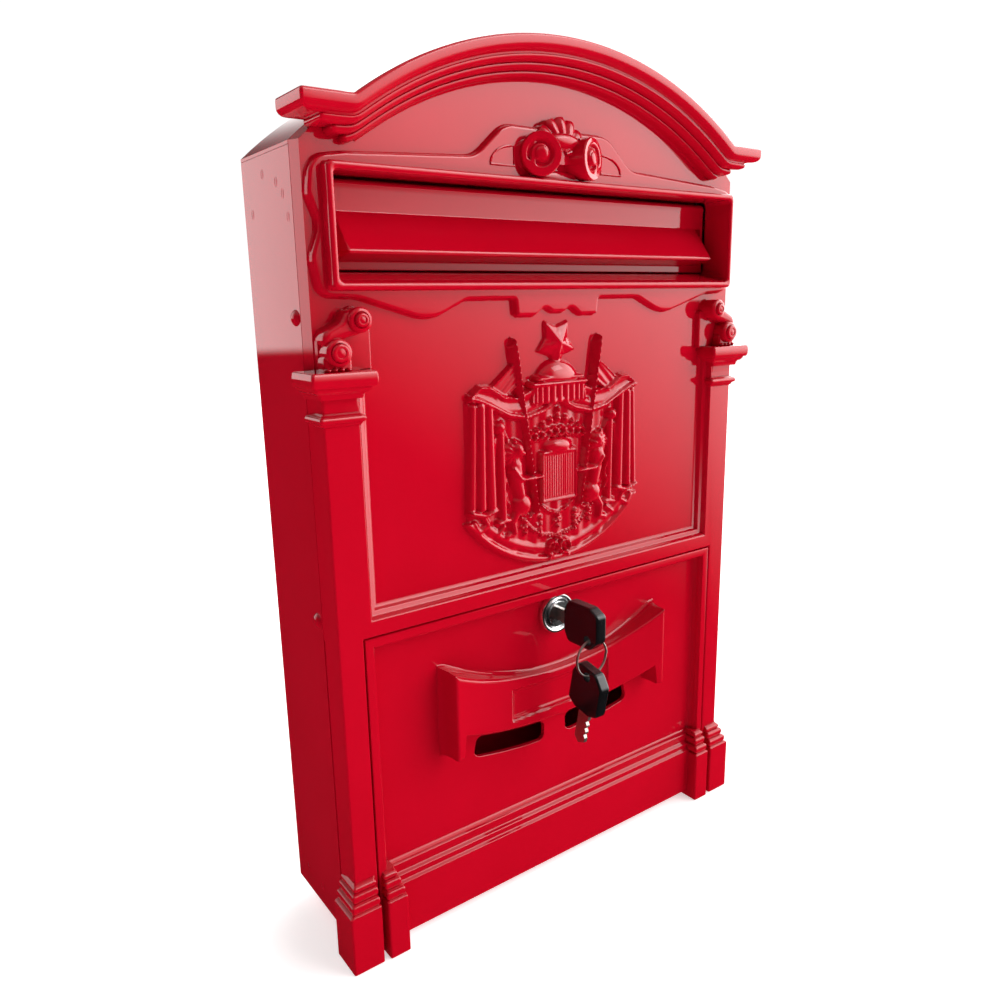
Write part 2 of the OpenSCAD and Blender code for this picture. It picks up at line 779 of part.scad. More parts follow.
fascia();
body_shell();
roof_panel();
floor_panel();
side_rivets();
letter_flap();
flap_rod();
flap_bracket_left();
flap_bracket_right();
bracket_screws();
rod_clips();
door();
hinge_pin_left();
hinge_pin_right();
lock_housing();
lock_nut();
lock_plug();
lock_cam();
cam_washer();
cam_screw();
key_blade();
key_bow();
key_ring();
spare_key_blade();
spare_key_bow();
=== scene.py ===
"""Wall post box: a red cast front with an arched cornice on a sheet-steel body.

Shapes are drawn in millimetres in the maker's drawing frame: X to the right from the middle,
Y into the wall from the front of the face plate, Z up from the feet. place() then moves them
into the frame, in metres.
"""
import math

import bmesh
import bpy
import numpy as np
from mathutils import Matrix, Vector
from mathutils.geometry import tessellate_polygon


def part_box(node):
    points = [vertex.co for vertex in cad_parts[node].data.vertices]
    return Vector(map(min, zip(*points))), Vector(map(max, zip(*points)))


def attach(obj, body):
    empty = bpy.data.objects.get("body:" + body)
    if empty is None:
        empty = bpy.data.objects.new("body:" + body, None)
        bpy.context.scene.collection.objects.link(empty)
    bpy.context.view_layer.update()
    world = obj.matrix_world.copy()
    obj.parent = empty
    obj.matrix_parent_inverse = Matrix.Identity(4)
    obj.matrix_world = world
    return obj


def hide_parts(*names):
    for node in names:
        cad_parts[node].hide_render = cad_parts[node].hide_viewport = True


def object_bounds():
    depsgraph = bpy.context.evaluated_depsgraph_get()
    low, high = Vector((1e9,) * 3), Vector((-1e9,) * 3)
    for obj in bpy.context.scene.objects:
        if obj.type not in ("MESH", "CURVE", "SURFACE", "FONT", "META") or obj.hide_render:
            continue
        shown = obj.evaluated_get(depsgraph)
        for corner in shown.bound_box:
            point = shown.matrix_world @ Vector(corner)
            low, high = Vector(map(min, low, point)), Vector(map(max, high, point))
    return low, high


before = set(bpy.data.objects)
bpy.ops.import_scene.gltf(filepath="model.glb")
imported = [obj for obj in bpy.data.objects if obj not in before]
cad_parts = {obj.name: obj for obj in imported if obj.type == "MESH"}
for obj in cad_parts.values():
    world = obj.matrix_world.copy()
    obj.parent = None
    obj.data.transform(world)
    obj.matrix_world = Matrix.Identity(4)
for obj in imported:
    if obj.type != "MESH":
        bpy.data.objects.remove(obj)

CAD_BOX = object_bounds()

# ---- sizes taken from the frame ----------------------------------------------------
MM = 0.001
BODY_LOW, BODY_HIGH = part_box("body_shell")
FASCIA_LOW, FASCIA_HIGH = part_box("fascia")
RIM = 7.2                                  # depth of the casting behind the face plate
FEET_Z = FASCIA_LOW.z
FACE_Y = BODY_LOW.y - (RIM + 0.1) * MM
HEIGHT = (FASCIA_HIGH.z - FEET_Z) / MM
BODY_HALF = BODY_HIGH.x / MM
FRONT_HALF = BODY_HALF - 1.2

# ---- sizes of the casting, in millimetres ------------------------------------------
ARCH_R = 185.2
ARCH_Z = HEIGHT - ARCH_R
ARM_TOP = HEIGHT - 34.2
PILASTER_OUT = 5.5
SHAFT_IN = FRONT_HALF - 16.4
PLATE = 2.5
SLOT_HALF = 114.4
SLOT_TOP = HEIGHT - 59.8
SLOT_LOW = SLOT_TOP - 41.8
SILL = SLOT_LOW + 4.8
CAP_TOP = HEIGHT - 136.1
DOOR_TOP = 158.7
DOOR_HALF = 111.5
DOOR_OPEN = 112.1
PANEL_LOW = DOOR_TOP + 7.8
LOCK_Z = 143
FLAP_FACE = 9.2
QUARTER = math.pi / 2


# ---- outlines and solids -----------------------------------------------------------

def place(points):
    """Drawing points in millimetres, moved into the frame in metres."""
    placed = np.array(points, float) * MM
    placed[:, 1] += FACE_Y
    placed[:, 2] += FEET_Z
    return placed


def rounded(corners, step=1.6, closed=True):
    """An outline through corners (x, z, radius), each turned into a smooth bend."""
    count = len(corners)
    outline = []
    for i, (x, z, radius) in enumerate(corners):
        here = np.array((x, z), float)
        if radius == 0 or (not closed and i in (0, count - 1)):
            outline.append(here)
            continue
        before = np.array(corners[i - 1][:2], float) - here
        after = np.array(corners[(i + 1) % count][:2], float) - here
        far_before, far_after = np.linalg.norm(before), np.linalg.norm(after)
        before, after = before / far_before, after / far_after
        half = math.acos(float(np.clip(before @ after, -0.9999, 0.9999))) / 2
        reach = min(radius / math.tan(half), far_before * 0.49, far_after * 0.49)
        start, end = here + before * reach, here + after * reach
        bends = max(3, int((math.pi - 2 * half) * radius / step * 2) + 2)
        for t in np.linspace(0, 1, bends):
            outline.append((1 - t) ** 2 * start + 2 * t * (1 - t) * here + t * t * end)
    dense = []
    pairs = len(outline) if closed else len(outline) - 1
    for i in range(pairs):
        a, b = outline[i], outline[(i + 1) % len(outline)]
        pieces = max(1, int(np.linalg.norm(b - a) / (step * 3)))
        dense += [a + (b - a) * t / pieces for t in range(pieces)]
    if not closed:
        dense.append(outline[-1])
    return np.array(dense)


def circle(sides):
    """Angles once round, without the last one."""
    return np.linspace(0, 2 * math.pi, sides, endpoint=False)


def arc_drop(radius, xs):
    """How far a circle of this radius has risen at xs from its lowest point."""
    return radius - np.sqrt(radius ** 2 - xs ** 2)


def mirrored(right):
    """A closed outline from its right half, which runs from the top middle to the bottom middle."""
    left = [(-x, z, r) for x, z, r in reversed(right) if x > 0]
    return rounded(list(right) + left)


def grown(outline, distance):
    """The outline moved outwards by a distance."""
    outline = np.asarray(outline, float)
    x, z = outline.T
    area = 0.5 * np.sum(x * np.roll(z, -1) - np.roll(x, -1) * z)
    edges = np.roll(outline, -1, 0) - outline
    edges /= np.maximum(np.linalg.norm(edges, axis=1, keepdims=True), 1e-9)
    normals = np.stack([edges[:, 1], -edges[:, 0]], 1) * (1 if area > 0 else -1)
    mean = normals + np.roll(normals, 1, 0)
    mean /= np.maximum(np.linalg.norm(mean, axis=1, keepdims=True), 1e-9)
    stretch = 1 / np.maximum((mean * normals).sum(1, keepdims=True), 0.6)
    return outline + mean * stretch * distance


def flat_row(outline, y):
    """An outline of X and Z as a row of points at depth y, which may be a list."""
    outline = np.asarray(outline, float)
    return np.stack([outline[:, 0], np.broadcast_to(y, len(outline)), outline[:, 1]], 1)


def loft(rows, around=True, ends=True):
    """A skin over rows of points, with its two end rows closed if ends is true."""
    rows = np.asarray(rows, float)
    count, width = rows.shape[:2]
    faces = []
    for i in range(count - 1):
        for j in range(width if around else width - 1):
            a, b = i * width + j, i * width + (j + 1) % width
            faces.append((a, b, b + width, a + width))
    if ends:
        faces.append(tuple(reversed(range(width))))
        faces.append(tuple(range((count - 1) * width, count * width)))
    return rows.reshape(-1, 3), faces


def lid(*loops):
    """A flat cover inside the first loop of 3-D points, with the others as holes."""
    faces = tessellate_polygon([[Vector((p[0], p[2], 0)) for p in loop] for loop in loops])
    return np.concatenate([np.asarray(loop, float) for loop in loops]), [tuple(f) for f in faces]


def join(*shapes):
    """One shape from several."""
    points, faces, base = [], [], 0
    for shape_points, shape_faces in shapes:
        points.append(np.asarray(shape_points, float))
        faces += [tuple(i + base for i in face) for face in shape_faces]
        base += len(shape_points)
    return np.concatenate(points), faces


def mirror(shape):
    """The same shape on the other side of the middle."""
    points, faces = shape
    return np.asarray(points) * (-1, 1, 1), [tuple(reversed(face)) for face in faces]


def both(shape):
    """The shape with its mirror image."""
    return join(shape, mirror(shape))


def block(x0, x1, y0, y1, z0, z1):
    """A box between two corners."""
    ring = [(x0, z0), (x1, z0), (x1, z1), (x0, z1)]
    return loft([flat_row(ring, y1), flat_row(ring, y0)])


def relief(outline, profile):
    """A raised plate. Its edge follows (growth of the outline, y) from its foot to its top."""
    rows = [flat_row(grown(outline, growth), y) for growth, y in profile]
    return join(loft(rows, ends=False), lid(rows[-1]))


def tube(path, radius, sides=8, closed=False):
    """A round bead along 3-D points."""
    path = np.asarray(path, float)
    ahead = np.roll(path, -1, 0) - np.roll(path, 1, 0)
    if not closed:
        ahead[0], ahead[-1] = path[1] - path[0], path[-1] - path[-2]
    ahead /= np.linalg.norm(ahead, axis=1, keepdims=True)
    across = np.cross(ahead, (0, 1, 0))
    flat = np.linalg.norm(across, axis=1) < 1e-3
    across[flat] = np.cross(ahead[flat], (1, 0, 0))
    across /= np.linalg.norm(across, axis=1, keepdims=True)
    up = np.cross(across, ahead)
    radii = np.broadcast_to(radius, len(path))[:, None]
    rows = np.stack([path + radii * (across * math.cos(a) + up * math.sin(a)) for a in circle(sides)], 1)
    if closed:
        rows = np.concatenate([rows, rows[:1]])
    return loft(rows, ends=not closed)


def soften_edges(piece, width, crease):
    """Rounds the edges sharper than a crease, given in degrees."""
    edge = piece.modifiers.new("softened_edges", "BEVEL")
    edge.width = width * MM
    edge.segments = 3
    edge.limit_method = "ANGLE"
    edge.angle_limit = math.radians(crease)


def cast(name, shape, soften=0.0, crease=26, finish=None, body="case"):
    """Makes one piece: its mesh, softened edges, finish (cast red if none is given) and its body."""
    points, faces = shape
    mesh = bpy.data.meshes.new(name)
    mesh.from_pydata(place(points).tolist(), [], faces)
    shell = bmesh.new()
    shell.from_mesh(mesh)
    bmesh.ops.remove_doubles(shell, verts=shell.verts, dist=2e-6)
    bmesh.ops.dissolve_degenerate(shell, edges=shell.edges, dist=1e-6)
    bmesh.ops.recalc_face_normals(shell, faces=shell.faces)
    shell.to_mesh(mesh)
    shell.free()
    mesh.shade_smooth()
    mesh.set_sharp_from_angle(angle=math.radians(40))
    piece = bpy.data.objects.new(name, mesh)
    bpy.context.scene.collection.objects.link(piece)
    mesh.materials.append(finish or CAST_RED)
    if soften:
        soften_edges(piece, soften, crease)
    even = piece.modifiers.new("even_shading", "WEIGHTED_NORMAL")
    even.keep_sharp = not soften
    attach(piece, body)
    return piece


# ---- finishes ----------------------------------------------------------------------

def effect_group(name, inputs, outputs):
    """An empty node group with float inputs (name, value) and named outputs."""
    group = bpy.data.node_groups.new(name, "ShaderNodeTree")
    for label, value in inputs:
        socket = group.interface.new_socket(label, in_out="INPUT", socket_type="NodeSocketFloat")
        socket.default_value = value
    for label, kind in outputs:
        group.interface.new_socket(label, in_out="OUTPUT", socket_type=kind)
    return group, group.nodes.new("NodeGroupInput"), group.nodes.new("NodeGroupOutput")


def orange_peel():
    """The shallow ripple of baked powder coat, and the slow change of its colour."""
    group, given, result = effect_group(
        "orange_peel",
        [("Ripple Scale", 420), ("Ripple Height", 0.1), ("Dust", 0.1)],
        [("Normal", "NodeSocketVector"), ("Shade", "NodeSocketFloat"), ("Roughness", "NodeSocketFloat")])
    nodes, links = group.nodes, group.links
    where = nodes.new("ShaderNodeTexCoord")
    fine = nodes.new("ShaderNodeTexNoise")
    fine.inputs["Detail"].default_value = 1.5
    slow = nodes.new("ShaderNodeTexNoise")
    slow.inputs["Scale"].default_value = 22
    slow.inputs["Detail"].default_value = 3
    speck = nodes.new("ShaderNodeTexNoise")
    speck.inputs["Scale"].default_value = 1900
    bump = nodes.new("ShaderNodeBump")
    bump.inputs["Distance"].default_value = 0.0006
    for noise in (fine, slow, speck):
        links.new(where.outputs["Object"], noise.inputs["Vector"])
    links.new(given.outputs["Ripple Scale"], fine.inputs["Scale"])
    links.new(given.outputs["Ripple Height"], bump.inputs["Strength"])
    links.new(fine.outputs["Fac"], bump.inputs["Height"])
    links.new(bump.outputs["Normal"], result.inputs["Normal"])
    links.new(slow.outputs["Fac"], result.inputs["Shade"])
    rough = nodes.new("ShaderNodeMapRange")
    rough.inputs["From Min"].default_value = 0.35
    rough.inputs["From Max"].default_value = 0.75
    rough.inputs["To Min"].default_value = 0.0
    links.new(speck.outputs["Fac"], rough.inputs["Value"])
    links.new(given.outputs["Dust"], rough.inputs["To Max"])
    links.new(rough.outputs["Result"], result.inputs["Roughness"])
    return group


def plain_finish(name, colour, roughness, metallic=0.0):
    """A material, its shader, and the material's node tree."""
    finish = bpy.data.materials.new(name)
    finish.use_nodes = True
    shader = finish.node_tree.nodes["Principled BSDF"]
    shader.inputs["Base Color"].default_value = (*colour, 1)
    shader.inputs["Roughness"].default_value = roughness
    shader.inputs["Metallic"].default_value = metallic
    return finish, shader, finish.node_tree


def rippled(shader, tree, scale, height, dust, roughness):
    """Places the orange peel in a material: its ripple, and dust that dulls the given roughness."""
    peel = tree.nodes.new("ShaderNodeGroup")
    peel.node_tree = ORANGE_PEEL
    for label, value in (("Ripple Scale", scale), ("Ripple Height", height), ("Dust", dust)):
        peel.inputs[label].default_value = value
    gloss = tree.nodes.new("ShaderNodeMath")
    gloss.operation = "ADD"
    gloss.inputs[1].default_value = roughness
    tree.links.new(peel.outputs["Roughness"], gloss.inputs[0])
    tree.links.new(gloss.outputs["Value"], shader.inputs["Roughness"])
    tree.links.new(peel.outputs["Normal"], shader.inputs["Normal"])
    return peel


def powder_coat(name, deep, bright, ripple_scale, ripple_height, roughness):
    """Glossy red powder coat: a slow drift between two reds under a clear rippled gloss."""
    finish, shader, tree = plain_finish(name, bright, roughness)
    peel = rippled(shader, tree, ripple_scale, ripple_height, 0.05, roughness)
    drift = tree.nodes.new("ShaderNodeMix")
    drift.data_type = "RGBA"
    drift.inputs["A"].default_value = (*deep, 1)
    drift.inputs["B"].default_value = (*bright, 1)
    tree.links.new(peel.outputs["Shade"], drift.inputs["Factor"])
    tree.links.new(drift.outputs["Result"], shader.inputs["Base Color"])
    shader.inputs["Specular IOR Level"].default_value = 0.0
    shader.inputs["Coat Weight"].default_value = 1.0
    shader.inputs["Coat Roughness"].default_value = 0.03
    return finish


def brushed_metal(name, colour, roughness, grain=0.12, scale=900, stretch=(1, 1, 0.06)):
    """Plated steel with a fine drawn grain."""
    finish, shader, tree = plain_finish(name, colour, roughness, 1.0)
    where = tree.nodes.new("ShaderNodeTexCoord")
    drawn = tree.nodes.new("ShaderNodeMapping")
    drawn.inputs["Scale"].default_value = stretch
    noise = tree.nodes.new("ShaderNodeTexNoise")
    noise.inputs["Scale"].default_value = scale
    noise.inputs["Detail"].default_value = 4
    spread = tree.nodes.new("ShaderNodeMapRange")
    spread.inputs["To Min"].default_value = roughness
    spread.inputs["To Max"].default_value = roughness + grain
    bump = tree.nodes.new("ShaderNodeBump")
    bump.inputs["Strength"].default_value = 0.08
    bump.inputs["Distance"].default_value = 0.0002
    tree.links.new(where.outputs["Object"], drawn.inputs["Vector"])
    tree.links.new(drawn.outputs["Vector"], noise.inputs["Vector"])
    tree.links.new(noise.outputs["Fac"], spread.inputs["Value"])
    tree.links.new(noise.outputs["Fac"], bump.inputs["Height"])
    tree.links.new(spread.outputs["Result"], shader.inputs["Roughness"])
    tree.links.new(bump.outputs["Normal"], shader.inputs["Normal"])
    return finish


def moulded_plastic(name, colour):
    """Black moulded plastic with a fine eroded grain."""
    roughness = 0.18
    finish, shader, tree = plain_finish(name, colour, roughness)
    rippled(shader, tree, 2600, 0.08, 0.1, roughness)
    return finish


ORANGE_PEEL = orange_peel()
CAST_RED = powder_coat("cast_red", (0.41, 0.0012, 0.010), (0.475, 0.0016, 0.014), 260, 0.22, 0.16)
SHEET_RED = powder_coat("sheet_red", (0.39, 0.0012, 0.010), (0.455, 0.0016, 0.014), 320, 0.10, 0.13)
CHROME = brushed_metal("bright_chrome", (0.86, 0.86, 0.87), 0.2, 0.05)
ZINC = brushed_metal("zinc_plate", (0.62, 0.63, 0.66), 0.28)
NICKEL = brushed_metal("key_nickel", (0.52, 0.49, 0.45), 0.42)
BLACK = moulded_plastic("key_black", (0.004, 0.004, 0.005))


# ---- cornice -----------------------------------------------------------------------

def cornice_profile():
    """(reach in front of the plate, drop below the crown, half width, depth of the return)."""
    end = FRONT_HALF + 5.1
    band = [(-RIM, 0, end - 1.6), (14.6, 0, end - 1.6), (15.5, 0.2, end - 0.7), (16.0, 0.7, end - 0.2),
            (16.2, 1.5, end), (16.2, 4.0, end), (15.9, 5.0, end - 0.3), (15.2, 5.9, end - 1.0),
            (14.2, 6.5, end - 2.0), (13.3, 6.7, end - 2.9)]
    bead_half, bead_fan = 99.6, 1.6        # half width of a bead with no reach, and its growth with reach
    lowest, lowest_half = 17.2, 101
    profile = [(reach, drop, half, RIM) for reach, drop, half in band]
    profile += [(12.9, 6.8, FRONT_HALF + 0.9, RIM), (12.5, 7.0, FRONT_HALF - 1.4, PLATE)]
    for reach, drop in ((12.9, 7.6), (9.0, 10.5), (5.2, 13.4)):
        bead = [(reach - 0.5, drop + 0.1), (reach, drop + 0.6), (reach + 0.05, drop + 1.3),
                (reach - 0.4, drop + 2.1), (reach - 1.3, drop + 2.6), (reach - 2.6, drop + 2.9)]
        half = bead_half + bead_fan * reach
        profile += [(out, down, half - 0.8 * (reach - out), PLATE) for out, down in bead]
    profile += [(1.4, 16.4, 102.6, PLATE), (0.4, 16.7, 101.4, PLATE), (0.0, lowest, lowest_half, PLATE)]
    return profile + [(-PLATE, lowest, lowest_half, PLATE), (-PLATE, 7.0, FRONT_HALF - 1, PLATE),
                      (-RIM, 6.8, FRONT_HALF, RIM)]


def cornice_row(reach, drop, half, back):
    """One line of the cornice, round from the wall side of one end to that of the other."""
    radius = ARCH_R - 0.92 * drop
    kink = math.sqrt(radius ** 2 - (ARM_TOP - drop - ARCH_Z) ** 2)
    turn = 1.2 if reach > 0 else 0.1
    arm = np.linspace(half - turn, min(kink + 4, half - turn - 0.2), 5)
    bend = np.linspace(min(kink + 3, half - turn - 0.4), kink - 3, 9)
    arch = radius * np.sin(np.linspace(math.asin((kink - 4) / radius), 0, 44))
    right = np.concatenate([arm, bend, arch])
    xs = np.concatenate([right, -right[-2::-1]])
    soft = 0.3 + 0.15 * max(drop, 0)
    level = ARM_TOP - drop
    curve = ARCH_Z + np.sqrt(np.maximum(radius ** 2 - xs ** 2, 0))
    zs = (level + curve + np.sqrt((level - curve) ** 2 + soft ** 2)) / 2
    front = np.stack([xs, np.full(len(xs), -reach), zs], 1)
    corner = [(half - turn * (1 - math.cos(a)), -reach + turn * (1 - math.sin(a)), zs[0])
              for a in np.linspace(0, QUARTER, 5)[:-1]]
    end = np.array([(half, max(back, -reach + turn), zs[0])] + corner)
    return np.concatenate([end, front, (end * (-1, 1, 1))[::-1]])


def cornice():
    """Arched cornice with level arms: a bold band over three beads, its ends returned to the wall."""
    profile = cornice_profile()
    rows = np.array([cornice_row(*line) for line in profile])
    rows[:, :, 2] = np.minimum(rows[:, :, 2], HEIGHT - 0.001)
    width = rows.shape[1]
    at_wall = [i for i, line in enumerate(profile) if line[3] == RIM]
    points, faces = loft(np.concatenate([rows, rows[:1]]), around=False, ends=False)
    faces.append(tuple(i * width for i in at_wall))
    faces.append(tuple(i * width + width - 1 for i in reversed(at_wall)))
    return cast("cornice", (points, faces))


# ---- face plate, panel and pilasters -----------------------------------------------

def arched(half, low, radius, count=60):
    """A plate outline with an arched top, from the bottom left round to the bottom right."""
    reach = math.asin(half / radius)
    top = [(radius * math.sin(a), ARCH_Z + radius * math.cos(a)) for a in np.linspace(reach, -reach, count)]
    return [(half, low)] + top + [(-half, low)]


def face_plate():
    """The plate behind everything, with the slot cut in it and the door opening below."""
    low = DOOR_TOP
    outer = arched(FRONT_HALF, low, ARCH_R - 1.2)
    hole = [(-SLOT_HALF - 2, SLOT_LOW - 2), (SLOT_HALF + 2, SLOT_LOW - 2),
            (SLOT_HALF + 2, SLOT_TOP + 2), (-SLOT_HALF - 2, SLOT_TOP + 2)]
    inner = grown(outer, -2.4)
    edge = [flat_row(outer, 0), flat_row(grown(outer, 1.1), RIM)]
    edge += [flat_row(inner, RIM), flat_row(inner, PLATE)]
    near, far = flat_row(hole, 0), flat_row(hole, PLATE)
    walls = loft(edge, ends=False), loft([near, far], ends=False)
    shape = join(lid(edge[0], near), lid(edge[-1], far), *walls)
    return cast("face_plate", shape, 0.35)


def pilaster_frame():
    """The two pilasters and the rail between them, in one level."""
    ring = [(FRONT_HALF, 0), (FRONT_HALF, CAP_TOP - 6), (SHAFT_IN, CAP_TOP - 6), (SHAFT_IN, PANEL_LOW),
            (-SHAFT_IN, PANEL_LOW), (-SHAFT_IN, CAP_TOP - 6), (-FRONT_HALF, CAP_TOP - 6), (-FRONT_HALF, 0),
            (-DOOR_OPEN, 0), (-DOOR_OPEN, DOOR_TOP), (DOOR_OPEN, DOOR_TOP), (DOOR_OPEN, 0)]

    def spread(out):
        return [(x + math.copysign(out, x) if abs(x) > FRONT_HALF - 1 else x, z) for x, z in ring]

    rows = [flat_row(ring, -PILASTER_OUT), flat_row(spread(-0.03), 0), flat_row(spread(1.05), RIM - 0.02)]
    shape = join(lid(rows[0]), lid(rows[-1]), loft(rows, ends=False))
    return cast("pilasters_and_rail", shape, 0.8)


def panel_moulding():
    """The stepped moulding round the sides and foot of the middle panel."""
    steps = [(-0.4, -4.9), (0.1, -5.1), (0.5, -4.4), (0.8, -3.4), (1.3, -2.9), (2.7, -2.5), (3.1, -2.1),
             (3.5, -1.0), (4.0, -0.35), (4.9, -0.05), (5.4, 0.1)]
    rows = []
    for inwards, y in steps:
        half, low = SHAFT_IN - inwards, PANEL_LOW + inwards
        rows.append([(-half, y, CAP_TOP - 6), (-half, y, low), (half, y, low), (half, y, CAP_TOP - 6)])
    return cast("panel_moulding", loft(rows, around=False, ends=False))


def wrapped(levels, back, corner=1.2):
    """Mouldings wrapped round a post: levels of (z, x0, x1, y of the front), all to one back."""
    rows = []
    for z, x0, x1, front in levels:
        turns = [(x1 - corner * (1 - math.cos(a)), front + corner * (1 - math.sin(a)))
                 for a in np.linspace(0, QUARTER, 5)]
        turns += [(x0 + corner * (1 - math.sin(a)), front + corner * (1 - math.cos(a)))
                  for a in np.linspace(0, QUARTER, 5)]
        rows.append([(x, y, z) for x, y in [(x1, back)] + turns + [(x0, back)]])
    return loft(rows)


def swelling(z0, z1, x0, x1, front, swell, steps=5):
    """Levels of a half-round moulding between two heights."""
    levels = []
    for a in np.linspace(-QUARTER, QUARTER, steps):
        out = swell * (math.cos(a) - 1)
        levels.append(((z0 + z1) / 2 + (z1 - z0) / 2 * math.sin(a), x0 - out, x1 + out, front - out))
    return levels


def capital():
    """Square capital: slab, ovolo, cove and neck, with a bead at the head of the shaft."""
    edge = FRONT_HALF
    top = CAP_TOP
    levels = [(top - 14, SHAFT_IN + 0.4, edge + 0.05, -PILASTER_OUT - 0.1),
              (top - 10.9, SHAFT_IN + 0.3, edge + 0.1, -5.7), (top - 10.7, 106.4, edge + 2.2, -7.9)]
    levels += [(top - 9.0, 106.3, edge + 2.4, -8.2), (top - 8.2, 105.8, edge + 2.9, -8.7)]
    levels += [(top - 7.9, 104.6, edge + 3.9, -9.6), (top - 7.0, 103.7, edge + 4.7, -10.4),
               (top - 6.0, 103.3, edge + 5.1, -10.8), (top - 5.3, 103.3, edge + 5.0, -10.8)]
    levels += swelling(top - 5.8, top + 0.3, 101.4, edge + 6.8, -12.6, 0.9, 7)
    bead = wrapped(swelling(top - 20.4, top - 17.5, 105.6, edge + 2.5, -8.2, 1.2, 7), RIM)
    fillet = wrapped([(top - 22, SHAFT_IN, edge + 0.1, -5.6), (top - 21.4, 106.9, edge + 0.9, -6.3),
                      (top - 20.4, 106.5, edge + 1.4, -6.9), (top - 17.5, 106.6, edge + 1.2, -6.8),
                      (top - 16.4, SHAFT_IN, edge + 0.1, -5.6)], RIM)
    shape = both(join(wrapped(levels, RIM), bead, fillet))
    return cast("capitals", shape)


def foot_levels(x0, x1, out, side_in, side_out):
    """Levels of a foot: a plain block with three stepped ridges on top."""
    levels = [(0.0, x0, x1, -out), (29.3, x0, x1, -out)]
    levels.append((29.9, x0 + side_in * 0.2, x1 - 0.5 * side_out, -out + 0.5))
    rises = [(30.3, 34.3), (34.7, 38.6), (38.9, 41.4)]
    step = (out - PILASTER_OUT) / 4
    for i, (z0, z1) in enumerate(rises):
        shift = 0.9 + i * step
        levels += swelling(z0, z1, x0 + side_in * (i + 0.6), x1 - side_out * (i + 0.9), -out + shift, 0.8, 6)
    levels.append((42.6, x0 + side_in * 3, x1 - side_out * 4, -PILASTER_OUT + 0.1))
    return levels


def case_feet():
    """The outer feet, under the pilasters."""
    levels = foot_levels(113.7, FRONT_HALF + 5.4, 11.6, 0, 1.3)
    return cast("case_feet", both(wrapped(levels, RIM - 1.1, 0.9)))


# ---- shaped frame round the slot ---------------------------------------------------

def cartouche_outline():
    """Wavy frame: scroll shoulders, waisted sides, and an apron with a double wave below."""
    right = [(0, 374.6, 0), (30, 374.8, 14), (46, 360.6, 13), (107, 357.2, 6), (121.5, 355.0, 10),
             (124.8, 341, 8), (118.9, 330.5, 9), (124.8, 318, 9), (121.0, 303.4, 7), (104, 302.4, 12),
             (71, 292.6, 22), (52, 301.2, 9), (25.4, 301.2, 1.6), (24.6, 293.4, 1.6), (13.5, 293.4, 5),
             (8, 297.6, 4), (3.5, 294.8, 4), (0, 294.8, 0)]
    return mirrored([(min(x, FRONT_HALF - 0.6), z, r) for x, z, r in right])


def slot_ring(grow, y, sill=0.0, corner=2.2):
    """A rounded rectangle round the slot, grown by a margin; sill lifts its lower side."""
    half, high, low = SLOT_HALF + grow, SLOT_TOP + grow, SLOT_LOW - grow + sill
    turns = []
    for x, z, start in ((half, high, 90), (half, low, 0), (-half, low, -90), (-half, high, -180)):
        middle_x = x - math.copysign(corner, x)
        middle_z = z - math.copysign(corner, z - (high + low) / 2)
        for a in np.radians(np.linspace(start, start - 90, 5)):
            turns.append((middle_x + corner * math.cos(a), middle_z + corner * math.sin(a)))
    return flat_row(turns, y)


def cartouche():
    """The frame's plate, and the bold bead round the slot with its reveal and sloping sill."""
    outline = cartouche_outline()
    profile = [(0.9, 0.1), (0.45, -0.25), (0.12, -0.8), (0.0, -1.7), (-0.15, -2.6), (-0.45, -3.15),
               (-0.9, -3.42), (-1.5, -3.5)]
    edge_rows = [flat_row(grown(outline, growth), y) for growth, y in profile]
    mouth = slot_ring(3.25, -3.5)
    plate = join(loft(edge_rows, ends=False), lid(edge_rows[-1], mouth))
    rim = [(3.25, -3.5, 0), (3.1, -3.7, 0), (3.05, -4.4, 0), (3.0, -6.2, 0), (2.95, -7.8, 0),
           (2.6, -8.6, 0), (1.9, -9.0, 0), (1.0, -9.0, 0), (0.35, -8.7, 0), (0.0, -8.1, 0)]
    rim += [(0.0, y, 4.8 * (y + 8.1) / 17.3) for y in (-3, 3, 8.4)]
    rim += [(2.2, 8.4, 4.8), (2.2, PLATE, 2.0)]
    return cast("slot_frame", join(plate, loft([slot_ring(*row) for row in rim], ends=False)))


def volute_end(radius, sides=96):
    """A rolled scroll end: a broad lip with a groove that winds in to a round eye, on a drum."""
    angles = circle(sides)
    outline = radius * np.stack([-np.cos(angles), np.sin(angles)], 1)
    lap = ((angles - math.radians(215)) / (2 * math.pi)) % 1.0
    groove = 0.40 + 0.22 * lap
    wide = 0.10 * (1 - 0.45 * lap) * soft_step(lap, 0.0, 0.1) * soft_step(1 - lap, 0.0, 0.06)
    rows = []
    for share in np.concatenate([np.linspace(0.01, 0.95, 48), [0.98, 0.995, 1.0]]):
        dip = 1.7 * np.exp(-((share - groove) / (wide + 0.02)) ** 2) * soft_step(wide, 0.0, 0.05)
        eye = math.sqrt(max(0.0, 1 - (share / 0.33) ** 2))
        height = (2.0 - dip + eye) * soft_step(1.08 - share, 0.0, 0.14)
        rows.append(flat_row(outline * share, -8.6 - height))
    drum = ((1.0, -7.4), (0.985, -6.2), (0.985, 1.0), (1.0, 2.0))
    rows += [flat_row(outline * grow, y) for grow, y in drum]
    return loft(rows, ends=True)


def moved(shape, x, z, swing, about_y):
    """The shape turned about an upright axis at depth about_y, by degrees, and moved to x and z."""
    points, faces = shape
    turn = np.array(Matrix.Rotation(math.radians(swing), 3, "Z"))
    return (np.asarray(points, float) - (0, about_y, 0)) @ turn.T + (x, about_y, z), faces


